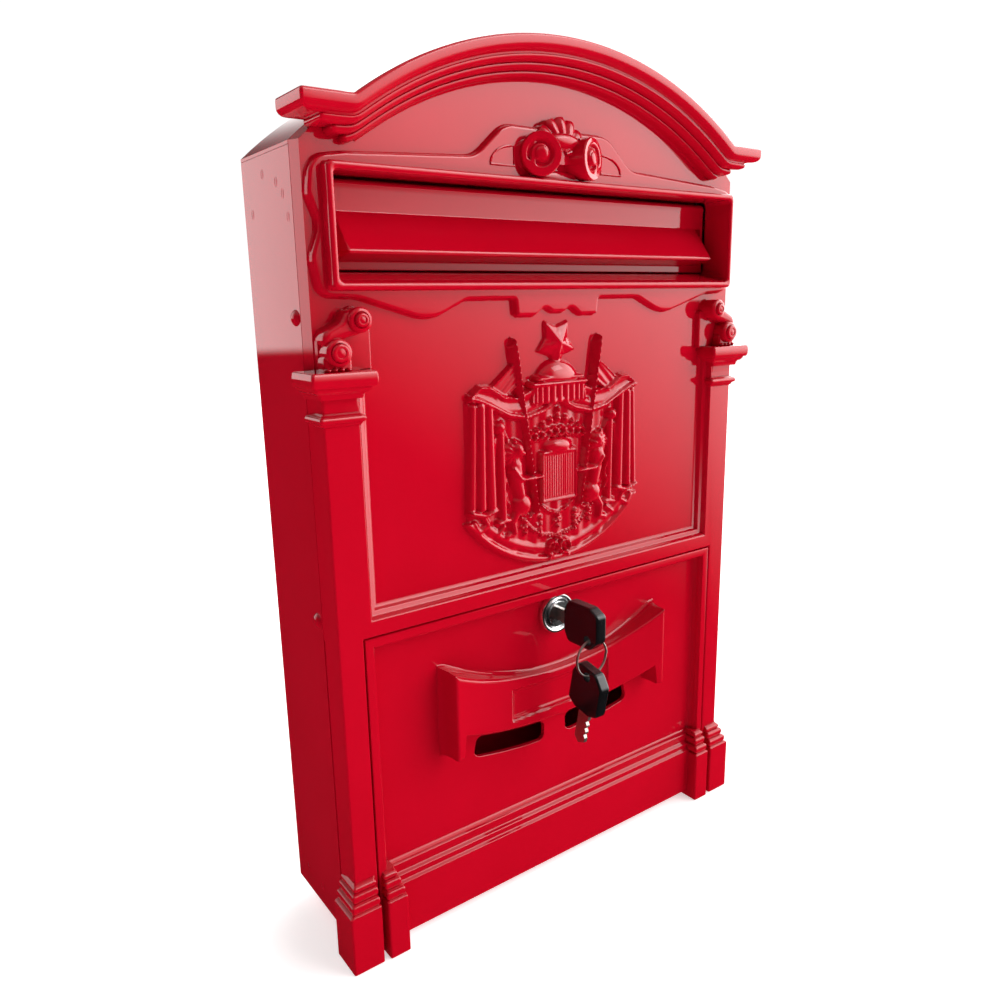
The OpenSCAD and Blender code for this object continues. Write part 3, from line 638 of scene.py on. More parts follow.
def scallop():
    """The half shell that stands behind the two volutes."""
    lobes = 7
    centre_z, reach = 364.0, 15.4
    angles = np.linspace(-0.05, math.pi + 0.05, lobes * 12 + 1)
    lobe = np.abs(np.sin(angles * lobes)) ** 0.7
    rows = []
    for t in np.linspace(0.1, 1, 16):
        edge = reach * t * (1 + 0.055 * lobe * t)
        swell = 2.2 + 5.2 * math.sqrt(max(0, 1 - (t * 0.97) ** 2)) + 1.5 * lobe * t
        rows.append(np.stack([edge * np.cos(angles) * 0.94, -swell, centre_z + edge * np.sin(angles)], 1))
    rows.append(np.stack([rows[-1][:, 0] * 1.03, np.full(len(angles), 0.2), rows[-1][:, 2] + 0.3], 1))
    return loft(rows, around=False, ends=False)


def lens(x, z, half_x, half_z, face_y, base_y=0.0, power=2.0, sides=40):
    """A low domed boss with an oval foot."""
    rows = []
    foot = np.stack([half_x * np.cos(circle(sides)), half_z * np.sin(circle(sides))], 1)
    for t in np.linspace(0.02, 1, 12):
        rise = (max(0.0, 1 - t ** power)) ** (1 / power)
        rows.append(flat_row(foot * t + (x, z), base_y + (face_y - base_y) * rise))
    return loft(rows, ends=True)


def volute_shoulder(near, far):
    """The plate's swell behind one volute, which dies away outwards."""
    rows = []
    for x in np.linspace(near, far, 20):
        front = -2.2 - 5.6 * soft_step(-x, -far, -17.0)
        high = 371.6 - 0.016 * (x - near) ** 2.1
        rows.append([(x, front + 1.2, high + 0.3), (x, front + 0.3, high), (x, front, high - 0.9),
                     (x, front, 361.5), (x, front * 0.5 - 1, 357.5), (x, -2, 355.5), (x, -2, high + 0.4)])
    return loft(rows)


def quarter_arch():
    """The beaded quarter arch beside one volute."""
    near, far, low, high, y = 25.6, 38.4, 357.8, 366.0, -3.55
    curve = [(near + (far - near) * math.sin(a), y, low + (high - low) * math.cos(a))
             for a in np.linspace(0, QUARTER, 14)]
    return tube(curve + [(near, y, low)], 0.55, closed=True)


def pediment():
    """The crest of the slot frame: two splayed volutes, a tie between them, shell and quarter arches."""
    volute_x, volute_z, volute_r, splay = 12.4, 363.0, 9.4, 22
    volute = moved(volute_end(volute_r), volute_x, volute_z, splay, about_y=-3)
    tie = block(-8, 8, -6.4, -2, volute_z - 3.2, volute_z + 3.0)
    pillow = lens(0, volute_z + 6.6, 11.5, 4.2, -9.2, -2.0, 2.6)
    apron = lens(0, volute_z - 8.5, 15, 3.2, -5.4, -2.0, 2.4)
    sides = both(volute), both(volute_shoulder(9.0, 28.5)), both(quarter_arch())
    return cast("pediment", join(*sides, tie, pillow, apron, scallop()))


def roll_end(radius, face_y, x, z, knob):
    """A rolled end seen from the front: a round drum with a rounded lip and a stepped knob."""
    def bend(outer, y, turn):
        angles = np.linspace(0.3, QUARTER, 5)
        return [(outer - turn * (1 - math.cos(a)), y - turn * math.sin(a)) for a in angles]

    lip = [(radius + 0.5, 0.1), (radius + 0.1, -0.6), (radius, -1.5), (radius, face_y + 2.2)]
    lip += bend(radius, face_y + 2.2, 1.6)
    well = [(knob + 0.5, face_y + 0.9), (knob + 0.15, face_y + 1.25), (knob, face_y + 0.9),
            (knob, face_y + 0.1)]
    well += bend(knob, face_y + 0.1, 0.9)
    inner = [(knob * 0.55, face_y - 0.75), (knob * 0.5, face_y - 0.45), (knob * 0.3, face_y - 0.6)]
    return lathe(lip + well + inner + [(0.05, face_y - 0.7)], x, z, 56)


def scroll_bracket():
    """S-shaped bracket over a capital: a low and a high rolled end joined by a slanting band."""
    low_x, low_z, low_r, low_knob = 117.0, 281.5, 5.6, 3.7
    high_x, high_z, high_r, high_knob = 107.0, 294.0, 5.1, 2.8
    roll_face = -11.0
    pad = relief(rounded([(99.6, CAP_TOP - 0.5, 0.4), (123.2, CAP_TOP - 0.5, 0.4), (123.2, 287, 3),
                          (116, 291.5, 5), (106, 294, 3), (99.6, 293, 2)]),
                 [(0.4, 0.1), (0.1, -0.4), (0.0, -1.8), (-0.3, -2.5), (-1.0, -2.8)])
    band = relief(rounded([(111.4, 287.5, 4), (123.0, 283.6, 4), (122.8, 289.5, 5), (114.5, 293.6, 6),
                           (112.4, 297.6, 3), (105.4, 299.2, 3), (103.5, 291.5, 3), (106.5, 288.3, 5)]),
                  [(0.4, 0.1), (0.0, -2), (0.0, -6.4), (-0.5, -7.6), (-1.4, -8.2), (-2.4, -8.3)])
    collar = relief(rounded([(110.6, CAP_TOP, 0.5), (123.1, CAP_TOP, 0.5), (123.1, 281, 3), (110.6, 281, 3)]),
                    [(0.2, 0.1), (0, -1.5), (0, -6.6), (-0.5, -7.4), (-1.4, -7.8)])
    beads = [lens(x, CAP_TOP + 1.0, 1.6, 1.2, -9.0, -6, 2) for x in (112.6, 115.6, 118.6, 121.4)]
    low = roll_end(low_r, roll_face, low_x, low_z, low_knob)
    high = roll_end(high_r, roll_face, high_x, high_z, high_knob)
    return cast("scroll_brackets", both(join(pad, band, collar, low, high, *beads)))


# ---- crest of the middle panel -----------------------------------------------------

def soft_step(value, low, high):
    """0 below low, 1 above high, and an even bend between."""
    t = np.clip((value - low) / (high - low), 0, 1)
    return t * t * (3 - 2 * t)


def over(under, upper, blend=0.5):
    """The higher of two heights, melted together where they meet."""
    melt = np.clip(1 - np.abs(under - upper) / blend, 0, 1) ** 2 * blend / 4
    return np.maximum(under, upper) + melt * np.clip(np.minimum(under, upper) / blend, 0, 1)


def near_path(xs, zs, path):
    """Distance from a path, and how far along it, from 0 to 1."""
    path = np.asarray(path, float)
    lengths = np.linalg.norm(np.diff(path, axis=0), axis=1)
    starts = np.concatenate([[0], np.cumsum(lengths)])
    best = np.full(xs.shape, 1e9)
    along = np.zeros(xs.shape)
    for a, b, length, start in zip(path[:-1], path[1:], lengths, starts):
        t = np.clip(((xs - a[0]) * (b[0] - a[0]) + (zs - a[1]) * (b[1] - a[1])) / length ** 2, 0, 1)
        gap = np.hypot(xs - a[0] - t * (b[0] - a[0]), zs - a[1] - t * (b[1] - a[1]))
        closer = gap < best
        best = np.where(closer, gap, best)
        along = np.where(closer, (start + t * length) / starts[-1], along)
    return best, along


def cord_height(xs, zs, path, width, height, taper=1.0):
    """Height of a round rod or limb along a path; taper is its end width over its first."""
    gap, along = near_path(xs, zs, path)
    half = width * (1 + (taper - 1) * along)
    return height * np.sqrt(np.clip(1 - (gap / half) ** 2, 0, 1))


def ball_height(xs, zs, x, z, half_x, half_z, height):
    """Height of an oval boss."""
    return height * np.clip(1 - ((xs - x) / half_x) ** 2 - ((zs - z) / half_z) ** 2, 0, 1) ** 0.5


def ring_height(xs, zs, x, z, radius, width, height):
    """Height of a round ring of round section."""
    gap = np.abs(np.hypot(xs - x, zs - z) - radius)
    return height * np.sqrt(np.clip(1 - (gap / width) ** 2, 0, 1))


def with_rods(height, xs, zs, rods):
    """Adds rods to the heights, each (blend, path, width, height, and sometimes taper)."""
    for blend, *rod in rods:
        height = over(height, cord_height(xs, zs, *rod), blend)
    return height


def with_balls(height, xs, zs, balls):
    """Adds balls to the heights, each (blend, x, z, half_x, half_z, height)."""
    for blend, *ball in balls:
        height = over(height, ball_height(xs, zs, *ball), blend)
    return height


def inside(xs, zs, corners):
    """Distance inside a convex outline, whose corners run clockwise."""
    depth = np.full(xs.shape, 1e9)
    for (ax, az), (bx, bz) in zip(corners, corners[1:] + corners[:1]):
        length = math.hypot(bx - ax, bz - az)
        depth = np.minimum(depth, ((bz - az) * (xs - ax) - (bx - ax) * (zs - az)) / length)
    return depth


def star_height(xs, zs, x, z, reach, notch, height, thick):
    """A five-pointed star with its odd point down: facets fall from the middle to a thick edge."""
    dx, dz = xs - x, zs - z
    turn = np.arctan2(dx, -dz)
    wedge = math.pi / 5
    fold = np.abs((turn + wedge) % (2 * wedge) - wedge)
    edge = reach * notch * math.sin(wedge) / (notch * np.sin(wedge - fold) + reach * np.sin(fold))
    share = np.hypot(dx, dz) / edge
    ribs = 0.14 * np.cos(fold * 60) * soft_step(share, 0.25, 0.6)
    return np.where(share < 1, thick + height * (1 - share) + ribs, 0) * soft_step(1 - share, 0, 0.03)


def cap_and_fringe(height, xs, zs):
    """The domed cap with its brim, over a band of fluted fringe."""
    height = over(height, ball_height(xs, zs, 0, 262.5, 13.6, 10.4, 6.4) * (zs > 262.5), 0.2)
    brim = cord_height(xs, zs, [(-13.5, 264.2), (13.5, 264.2)], 1.5, 6.0)
    brim = with_rods(brim, xs, zs, [(0.2, [(-16.5, 261.6), (16.5, 261.6)], 1.5, 5.6)])
    flute = np.abs(np.cos(14 * np.arcsin(np.clip(xs / 18.5, -1, 1)))) ** 0.55
    hang = inside(xs, zs, [(-17.6, 251.5), (-16.6, 262), (16.6, 262), (17.6, 251.5)])
    bulge = 0.75 + 0.25 * np.sqrt(np.clip(1 - (xs / 19) ** 2, 0, 1))
    fringe = soft_step(hang, -0.2, 0.8) * (3.6 + 1.5 * flute) * bulge
    return over(over(height, fringe, 0.2), brim, 0.2)


def mantle(height, across, zs):
    """The cloth behind everything: backing, rolled hem, two swags and the standing curtains."""
    rim_z, rim_r = 241.7, 70
    hem = np.hypot(across, zs - rim_z)
    backing = soft_step(rim_r - hem, 0, 1.2) * soft_step(257 - zs, 0, 2)
    backing = backing * soft_step(54 - across, 0, 1.5)
    pleat = 0.28 * np.cos(across * 0.42 + (zs - 172) * 0.05) + 0.2 * np.cos(across * 0.9)
    height = over(height, backing * (1.3 + pleat), 0.3)
    rolled = 2.9 * np.sqrt(np.clip(1 - ((hem - rim_r + 2.0) / 2.0) ** 2, 0, 1)) * (zs < 200)
    inner = 2.3 * np.sqrt(np.clip(1 - ((hem - rim_r + 7.4) / 2.6) ** 2, 0, 1)) * (zs < 198)
    height = over(over(height, rolled, 0.3), inner, 0.6)
    low_edge = np.interp(across, [0, 4, 10, 20, 30, 40, 47, 52],
                         [254.2, 251, 248, 245.8, 247.6, 252.6, 255.8, 257])
    top_edge = np.interp(across, [0, 17, 25, 33, 41, 46, 50, 53],
                         [260, 260, 256.5, 258, 263, 263.2, 260.5, 257])
    cloth = soft_step(np.minimum(zs - low_edge, top_edge - zs), -0.3, 0.7) * soft_step(53 - across, 0, 1)
    sheet = cloth * (3.0 + 0.5 * np.cos((zs - low_edge) * 0.9 + across * 0.12))
    lip = 4.8 * np.sqrt(np.clip(1 - ((zs - low_edge - 0.9) / 1.7) ** 2, 0, 1)) * (across < 52.5)
    crown = 4.2 * np.sqrt(np.clip(1 - ((zs - top_edge + 1.2) / 1.5) ** 2, 0, 1))
    crown = crown * (across > 31) * (across < 52.5)
    height = over(over(over(height, sheet, 0.3), lip, 0.3), crown, 0.4)
    for top_x, low_x, half, rise in ((41.3, 40.6, 3.0, 4.6), (45.9, 46.6, 2.7, 5.0), (49.8, 51.6, 2.3, 3.8)):
        fold = cord_height(across, zs, [(top_x, 253.5), (low_x, 206)], half, rise, 1.15)
        height = over(height, fold * (zs > 204.8), 0.25)
    cuff = [(38.6, 204.4), (45, 202.6), (52.6, 204.8)]
    tail = [(44.5, 201), (42.5, 197.5), (47.5, 194.5), (50.2, 199)]
    return with_rods(height, across, zs, [(0.2, cuff, 1.6, 5.2), (0.3, tail, 1.7, 3.0)])


def banner(height, across, zs):
    """A ball-topped pole with a hanging two-fold banner, its foot rolled up."""
    height = with_rods(height, across, zs, [
        (0.2, [(34.6, 240), (33.8, 199)], 2.5, 4.0, 1.1), (0.2, [(37.8, 238), (38.3, 226)], 1.5, 2.8, 0.5),
        (0.2, [(32.6, 240), (30.6, 236.4)], 0.9, 3.0), (0.2, [(30.9, 198.2), (37.2, 197.4)], 1.7, 4.4),
        (0.3, [(33, 195), (37.5, 191.5)], 1.5, 2.8, 0.6)])
    return with_balls(height, across, zs, [(0.15, 35.4, 243.2, 3.5, 3.4, 5.2)])


def supporter(height, across, zs):
    """A small plain rampant beast: maned head, body, haunch, fore leg to the shield, and tail."""
    mane_x, mane_z = 27.0, 229.6
    reach = np.hypot((across - mane_x) / 6.4, (zs - mane_z) / 7.6)
    strand = 0.45 * np.cos(np.arctan2(zs - mane_z, across - mane_x) * 13 + reach * 5)
    mane = np.clip(1 - reach ** 2, 0, 1) ** 0.5 * (4.2 + strand)
    body = [(26.4, 224), (25.2, 216), (23.6, 209.5)]
    thigh = [(24.4, 203), (28.4, 196.6), (27.4, 191)]
    paw = [(27.6, 191), (31.6, 189.6)]
    arm = [(28.4, 222.5), (24.2, 217.2), (12.2, 217.0)]
    tail = [(30.2, 204.6), (32.2, 209), (30.8, 214), (32.4, 219.2)]
    haunch, head = (0.2, 22.6, 204.4, 6.2, 6.0, 5.6), (0.2, 25.2, 231.6, 3.7, 4.2, 6.0)
    muzzle, ear = (0.2, 23.0, 229.8, 2.1, 1.9, 5.8), (0.2, 27.2, 235.6, 1.3, 1.3, 5.0)
    height = with_rods(height, across, zs, [(0.2, body, 5.0, 4.8, 0.72)])
    height = with_balls(height, across, zs, [haunch])
    height = with_rods(height, across, zs, [(0.2, thigh, 3.2, 4.2, 0.55), (0.2, paw, 1.8, 3.2),
                                            (0.2, tail, 1.0, 3.4)])
    height = with_rods(over(height, mane, 0.2), across, zs, [(0.2, arm, 2.1, 5.6, 0.6)])
    return with_balls(height, across, zs, [head, muzzle, ear])


def shield(height, xs, across, zs):
    """A blank square shield with a raised rim and reeded field, a lens and beads above it."""
    field = inside(xs, zs, [(-11.6, 203), (-11.6, 229), (11.6, 229), (11.6, 203)])
    reed = 0.28 * np.cos(xs * 2 * math.pi / 1.45) * soft_step(field, 1.8, 2.4)
    plate = soft_step(field, -0.1, 0.4) * (3.5 + 0.9 * (1 - soft_step(field, 1.0, 1.6)) + reed)
    height = np.maximum(height, plate)
    height = over(height, ball_height(xs, zs, 0, 230.6, 9.6, 4.6, 5.2), 0.15)
    for x in (2.3, 6.9, 11.3, 15.4):
        height = over(height, ring_height(across, zs, x, 238.2 - x * 0.12, 2.1, 0.85, 3.4), 0.15)
    beads = ((0, 244.2, 2.3), (4.7, 243.6, 2.2), (9.2, 241.8, 1.7), (0, 248.4, 1.6), (13.2, 239.8, 1.3))
    return with_balls(height, across, zs, [(0.12, x, z, r, r, 4.0) for x, z, r in beads])


def staffs(height, across, zs):
    """Two crossed-in staffs with leaf heads, and the small plain pennants on them."""
    flag = inside(across, zs, [(21.0, 263.5), (26.5, 272.5), (41.2, 261.0), (35.2, 253.6)])
    fly = soft_step(flag, -0.2, 0.4) * (2.3 + 0.5 * (1 - soft_step(flag, 0.8, 1.4)))
    fly = fly + 0.22 * np.cos((across + zs) * 1.1) * soft_step(flag, 1.0, 2.0)
    height = np.maximum(height, fly)
    gap, along = near_path(across, zs, [(26.7, 283.4), (13.6, 199.4)])
    half = np.interp(along, [0, 0.04, 0.1, 0.17, 1], [0.6, 2.9, 3.5, 2.2, 1.9])
    staff = 5.6 * np.clip(1 - gap / half, 0, 1) ** 0.8
    return over(height, staff, 0.1)


def collar(height, across, zs):
    """Chains, tassels and the tied knot below the shield."""
    ropes = ([(0, 196.8), (5, 197.8), (10.6, 202)], [(13, 200.5), (17.5, 196.8), (22.5, 199.5)],
             [(0, 184.6), (9, 186.2), (16, 190.5), (23, 197.5)])
    for path in ropes:
        gap, along = near_path(across, zs, path)
        link = 0.75 + 0.25 * np.cos(along * len(path) * 22)
        height = over(height, 3.4 * link * np.sqrt(np.clip(1 - (gap / 1.1) ** 2, 0, 1)), 0.15)
    for x, count in ((0, 3), (11.2, 4), (20.5, 3)):
        for i in range(count):
            r, z = 1.75 - 0.2 * i, 195.6 - 3.0 * i
            knots = [(0.12, x, z, r, r, 3.6)] + [(0.12, x + 2.0, z, 1.1, 1.1, 3.0)] * (i == 1)
            height = with_balls(height, across, zs, knots)
    height = over(height, ring_height(across, zs, 3.9, 179.0, 3.3, 0.95, 4.4), 0.15)
    height = with_rods(height, across, zs, [(0.15, [(1.6, 183.2), (6.4, 173.4)], 0.95, 4.0)])
    return with_balls(height, across, zs, [(0.12, 0, 184.2, 1.8, 1.8, 4.6)])


def crest():
    """The relief in the middle of the panel, modelled as heights over a fine grid."""
    pitch = 0.5
    zs, xs = np.mgrid[169.5:294.5:pitch, -56:56 + pitch:pitch]
    across = np.abs(xs)
    height = mantle(np.zeros(xs.shape), across, zs)
    height = banner(height, across, zs)
    height = collar(height, across, zs)
    height = supporter(height, across, zs)
    height = shield(height, xs, across, zs)
    height = cap_and_fringe(height, xs, zs)
    height = staffs(height, across, zs)
    star = star_height(xs, zs, 0, 280.8, reach=12.6, notch=7.7, height=3.8, thick=1.6)
    height = np.maximum(height, star)
    padded = np.pad(height, 1, mode="edge")
    beside = padded[:-2, 1:-1] + padded[2:, 1:-1] + padded[1:-1, :-2] + padded[1:-1, 2:]
    height = 0.4 * height + 0.15 * beside
    rows, columns = xs.shape
    points = np.stack([xs.ravel(), 0.12 - height.ravel(), zs.ravel()], 1)
    faces = []
    for i in range(rows - 1):
        for j in range(columns - 1):
            if height[i:i + 2, j:j + 2].max() > 0.05:
                a = i * columns + j
                faces.append((a, a + 1, a + columns + 1, a + columns))
    used = sorted({i for face in faces for i in face})
    index = {old: new for new, old in enumerate(used)}
    faces = [tuple(index[i] for i in face) for face in faces]
    return cast("crest", (points[used], faces))


# ---- letter flap -------------------------------------------------------------------

def letter_flap():
    """The flap: a flat plate with a long finger ridge whose ends taper, rolled round its rod."""
    half, face, back = SLOT_HALF - 0.8, FLAP_FACE, FLAP_FACE + 1.7
    rod_y, rod_z = FLAP_FACE + 2.4, SLOT_TOP - 3.4
    roll = [(rod_y + 2.8 * math.sin(a), rod_z + 2.8 * math.cos(a)) for a in np.linspace(2.6, -1.3, 9)]
    ridge = [(face, SLOT_LOW + 28.2), (-2.6, SLOT_LOW + 13.0), (-3.0, SLOT_LOW + 12.2),
             (-2.5, SLOT_LOW + 11.3), (face, SLOT_LOW + 8.9)]
    ridge_half, foot = 107, SILL + 0.5
    rows = []
    for x, lift in ((-half, 0), (-half + 2, 0), (-ridge_half, 1), (ridge_half, 1), (half - 2, 0), (half, 0)):
        nose = [(face + (y - face) * lift, z) for y, z in ridge]
        side = [(face, rod_z - 1.6)] + nose + [(face, foot), (back, foot), (back, rod_z - 3)] + roll
        rows.append([(x, y, z) for y, z in side])
    flap = cast("flap_plate", loft(rows), 0.7, 20, body="flap")
    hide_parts("letter_flap")
    return flap


# ---- door --------------------------------------------------------------------------

def view_slot(side, grow=0.0):
    """Outline of one smiling view slot with round ends, left or right of the middle."""
    centre_z, mid, half, r = 328.0, 250.0, 5.5 + grow, 4.0 + grow
    near, far, inset = math.asin(7.2 / mid), math.asin(51.6 / mid), r / mid
    start, end = near - grow / mid + inset, far + grow / mid - inset

    def at_angle(a, radius):
        return side * radius * math.sin(a), centre_z - radius * math.cos(a)

    def corner(a, radius, turn):
        bends = np.linspace(0.2, 0.8, 4) * QUARTER + turn
        return [at_angle(a + inset * math.sin(bend), radius + r * math.cos(bend)) for bend in bends]

    ring = [at_angle(a, mid + half) for a in np.linspace(start, end, 16)]
    ring += corner(end, mid + half - r, 0) + corner(end, mid - half + r, QUARTER)
    ring += [at_angle(a, mid - half) for a in np.linspace(end, start, 16)]
    return ring + corner(start, mid - half + r, 2 * QUARTER) + corner(start, mid + half - r, 3 * QUARTER)


def door_plate():
    """The door: a raised border and ridged plinth round a sunk field with two view slots."""
    face, field, rear = -PILASTER_OUT, 1.0, 5.2
    low, high, half = 3.6, DOOR_TOP - 0.6, DOOR_HALF
    frames = [(half - 2.4, low + 2.4, high - 2.4, field + 2.4), (half - 2.4, low + 2.4, high - 2.4, rear),
              (half, low, high, rear), (half, low, high, face + 0.7),
              (half - 0.25, low + 0.25, high - 0.25, face + 0.2), (half - 0.8, low + 0.8, high - 0.8, face)]
    border = [(3.6, 30.8, 0), (4.1, 31.2, 0.25), (4.4, 31.7, 1.3), (4.7, 32.2, 1.7), (4.8, 34.2, 1.8),
              (5.0, 34.7, 2.1), (5.2, 35.2, 3.3), (5.4, 35.8, 3.7), (5.6, 39.1, 4.1), (5.9, 39.5, 4.4),
              (6.2, 40.0, 5.4), (6.6, 41.0, 5.7), (7.0, 41.5, 6.1), (7.6, 42.1, field - face)]
    frames += [(half - inwards, foot, high - inwards, face + sunk) for inwards, foot, sunk in border]
    rows = [[(-w, y, z0), (w, y, z0), (w, y, z1), (-w, y, z1)] for w, z0, z1, y in frames]
    slot_edge = ((0.5, field), (0.1, field + 0.3), (0, field + 2.4))
    slots = [[flat_row(view_slot(side, grow), y) for grow, y in slot_edge] for side in (-1, 1)]
    shape = join(loft(rows, ends=False), lid(rows[-1], slots[0][0], slots[1][0]),
                 lid(rows[0], slots[0][-1], slots[1][-1]), *[loft(slot, ends=False) for slot in slots])
    door = cast("door_plate", shape, body="door")
    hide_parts("door")
    return door


def door_feet():
    """The inner feet, which swing down with the door."""
    levels = foot_levels(100.1, DOOR_HALF - 0.7, 12.2, 1.1, 0.15)
    return cast("door_feet", both(wrapped(levels, 0.5, 0.9)), body="door")


def door_lugs():
    """Lugs behind the door's foot that its hinge pins go through."""
    pin_low, pin_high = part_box("hinge_pin_right")
    pin_z = ((pin_low.z + pin_high.z) / 2 - FEET_Z) / MM
    lug = block(DOOR_HALF - 7, DOOR_HALF - 0.1, 0.6, 5.1, pin_z - 4.1, pin_z + 4.1)
    return cast("door_hinge_lugs", both(lug), 0.6, body="door")


RIBBON_HALF = 69.5
RIBBON_END, RIBBON_MID = -11.9, -3.6       # its front at the ends and in the middle
RIBBON_ROUND = 1.4                         # radius of its edges
RIBBON_STEPS = np.array([0, 0.18, 0.6, RIBBON_ROUND])


def ribbon_front(columns, bottom, top):
    """Points of the ribbon's bowed front, row by row, with its rounded edge and label recess."""
    half, steps = RIBBON_HALF, RIBBON_STEPS[:3]
    inner = np.linspace(0, 1, 46)
    grid = np.zeros((len(inner) + 6, len(columns), 3))
    for j, (x, z0, z1) in enumerate(zip(columns, bottom, top)):
        middle = z0 + RIBBON_ROUND + (z1 - z0 - 2 * RIBBON_ROUND) * inner
        zs = np.concatenate([z0 + steps, middle, (z1 - steps)[::-1]])
        bow = RIBBON_MID + (RIBBON_END - RIBBON_MID) * (x / half) ** 2
        gap = np.minimum(np.minimum(zs - z0, z1 - zs), half - abs(x))
        dip = arc_drop(RIBBON_ROUND, np.clip(RIBBON_ROUND - gap, 0, RIBBON_ROUND))
        label_low, label_high = 92.2 + 0.0009 * x * x, 109.2 + 0.0016 * x * x
        window = np.minimum(32.5 - abs(x), np.minimum(zs - label_low, label_high - zs))
        sunk = 1.3 * soft_step(window, -0.1, 0.7) + 0.5 * soft_step(window, 1.7, 2.6)
        grid[:, j] = np.stack([np.full(len(zs), x), bow + dip + sunk, zs], 1)
    return grid


def ribbon_skirt(grid, foot):
    """The ribbon's sides, which flare as they run down to the door's field."""
    count, width = grid.shape[:2]
    loop = [(0, j) for j in range(width)] + [(i, width - 1) for i in range(1, count)]
    loop += [(count - 1, j) for j in range(width - 2, -1, -1)] + [(i, 0) for i in range(count - 2, 0, -1)]
    border = np.array([grid[i, j] for i, j in loop])
    upper = np.array([i == count - 1 for i, j in loop])
    lower = np.array([i == 0 for i, j in loop])
    at_end = soft_step(np.abs(border[:, 0]), RIBBON_HALF - 0.8, RIBBON_HALF - 0.01)
    skirt = [border]
    for t in (0.08, 0.2, 0.35, 0.5, 0.62, 0.72, 0.8, 0.86, 0.91, 0.95, 0.98, 1.0):
        ring, fillet = border.copy(), t ** 9
        ring[:, 0] += np.sign(ring[:, 0]) * at_end * (1.0 * t + 2.2 * t ** 4)
        ring[:, 2] += upper * (0.6 * t + 1.8 * fillet) - lower * 1.2 * fillet
        ring[:, 1] += (foot - ring[:, 1]) * t
        skirt.append(ring)
    return loft(skirt, ends=False)


def ribbon():
    """The label ribbon: a bowed banner with straight ends that stand proud on flared feet."""
    half, low, leg_low, high = RIBBON_HALF, 86.5, 87.2, 113.5
    across = np.linspace(-half + 1.9, half - 1.9, 180)
    columns = np.concatenate([-half + RIBBON_STEPS, across, (half - RIBBON_STEPS)[::-1]])
    leg = soft_step(np.abs(columns), half - 5.4, half - 4.2)
    bottom = (low + arc_drop(180, columns)) * (1 - leg) + leg_low * leg
    grid = ribbon_front(columns, bottom, high + arc_drop(144, columns))
    front = loft(grid, around=False, ends=False)
    return cast("label_ribbon", join(front, ribbon_skirt(grid, 1.2)), body="door")


# ---- lock and keys -----------------------------------------------------------------

def lathe(profile, x, z, sides=72):
    """A turned part on an axis along Y, from (radius, y) points."""
    ring = np.stack([np.cos(circle(sides)), np.sin(circle(sides))], 1)
    return loft([flat_row(ring * r + (x, z), y) for r, y in profile], ends=False)


def lock_body():
    """Chrome lock housing: a dished bezel in front and a threaded barrel through the door."""
    bore, rear = 6.6, 11.9
    front = [(bore, rear), (bore, -0.9), (6.9, -1.35), (7.5, -1.35), (7.9, -1.0), (8.3, -1.5), (8.8, -2.2),
             (9.4, -2.4), (10.2, -2.2), (10.7, -1.5), (10.8, -0.6), (10.7, 0.5), (10.2, 0.9), (9.0, 0.9)]
    thread = []
    for y in 3.6 + 0.62 * np.arange(13):
        thread += [(8.55, y), (8.98, y + 0.3)]
    turned = lathe(front + [(8.95, 3.2)] + thread + [(8.9, rear), (bore, rear)], 0, LOCK_Z)
    housing = cast("lock_body", turned, finish=CHROME, body="door")
    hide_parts("lock_housing")
    return housing


def drawn_middle(name):
    """Middle of a frame part, as a drawing point in millimetres, and its height."""
    low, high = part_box(name)
    middle = (low + high) / 2
    point = np.array([middle.x / MM, (middle.y - FACE_Y) / MM, (middle.z - FEET_Z) / MM])
    return point, (high.z - low.z) / MM


def split_ring():
    """Two turns of wire that carry both keys."""
    (x, y, z), height = drawn_middle("key_ring")
    wire = 0.46
    radius = height / 2 - wire - 0.05
    path = [(x + radius * math.cos(a), y - wire + 2 * wire * a / (4 * math.pi), z + radius * math.sin(a))
            for a in np.linspace(0, 4 * math.pi, 145)]
    ring = cast("split_ring", tube(path, wire, 10), finish=NICKEL, body="ring")
    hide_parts("key_ring")
    return ring


def key_bow(name, body, eye, bow_turn):
    """Plastic bow of a key with rounded edges and an eye: eye gives its place from the near end."""
    eye_radius, side = 2.5, 3.2
    outline = rounded([(0, 5.5, 2), (-3, 11, 3), (-19, 11, 4), (-25, 8, 3), (-25, -5.5, 4), (-19, -11, 4),
                       (-3, -11, 3), (0, -5.5, 2)], step=0.8)
    hole = eye_radius * np.stack([np.cos(circle(32)), np.sin(circle(32))], 1) + eye
    bend = [(-1.2, side), (-0.55, 3.05), (-0.15, 2.6), (0.0, 1.9)]
    edge = [(inwards, -x) for inwards, x in bend] + bend[::-1]
    rows = [flat_row(grown(outline, inwards), x) for inwards, x in edge]
    ends = [flat_row(hole, x) for x in (-side, side)]
    points, faces = join(loft(rows, ends=False), loft(ends, ends=False), lid(rows[0], ends[0]),
                         lid(rows[-1], ends[1]))
    turned = points[:, [1, 0, 2]] @ np.array(Matrix.Rotation(bow_turn, 3, "X")).T
    target, _ = drawn_middle(name)
    shape = turned - (turned.min(0) + turned.max(0)) / 2 + target, faces
    bow = cast(name + "_moulded", shape, finish=BLACK, body=body)
    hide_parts(name)
    return bow


# ---- sheet-steel body --------------------------------------------------------------

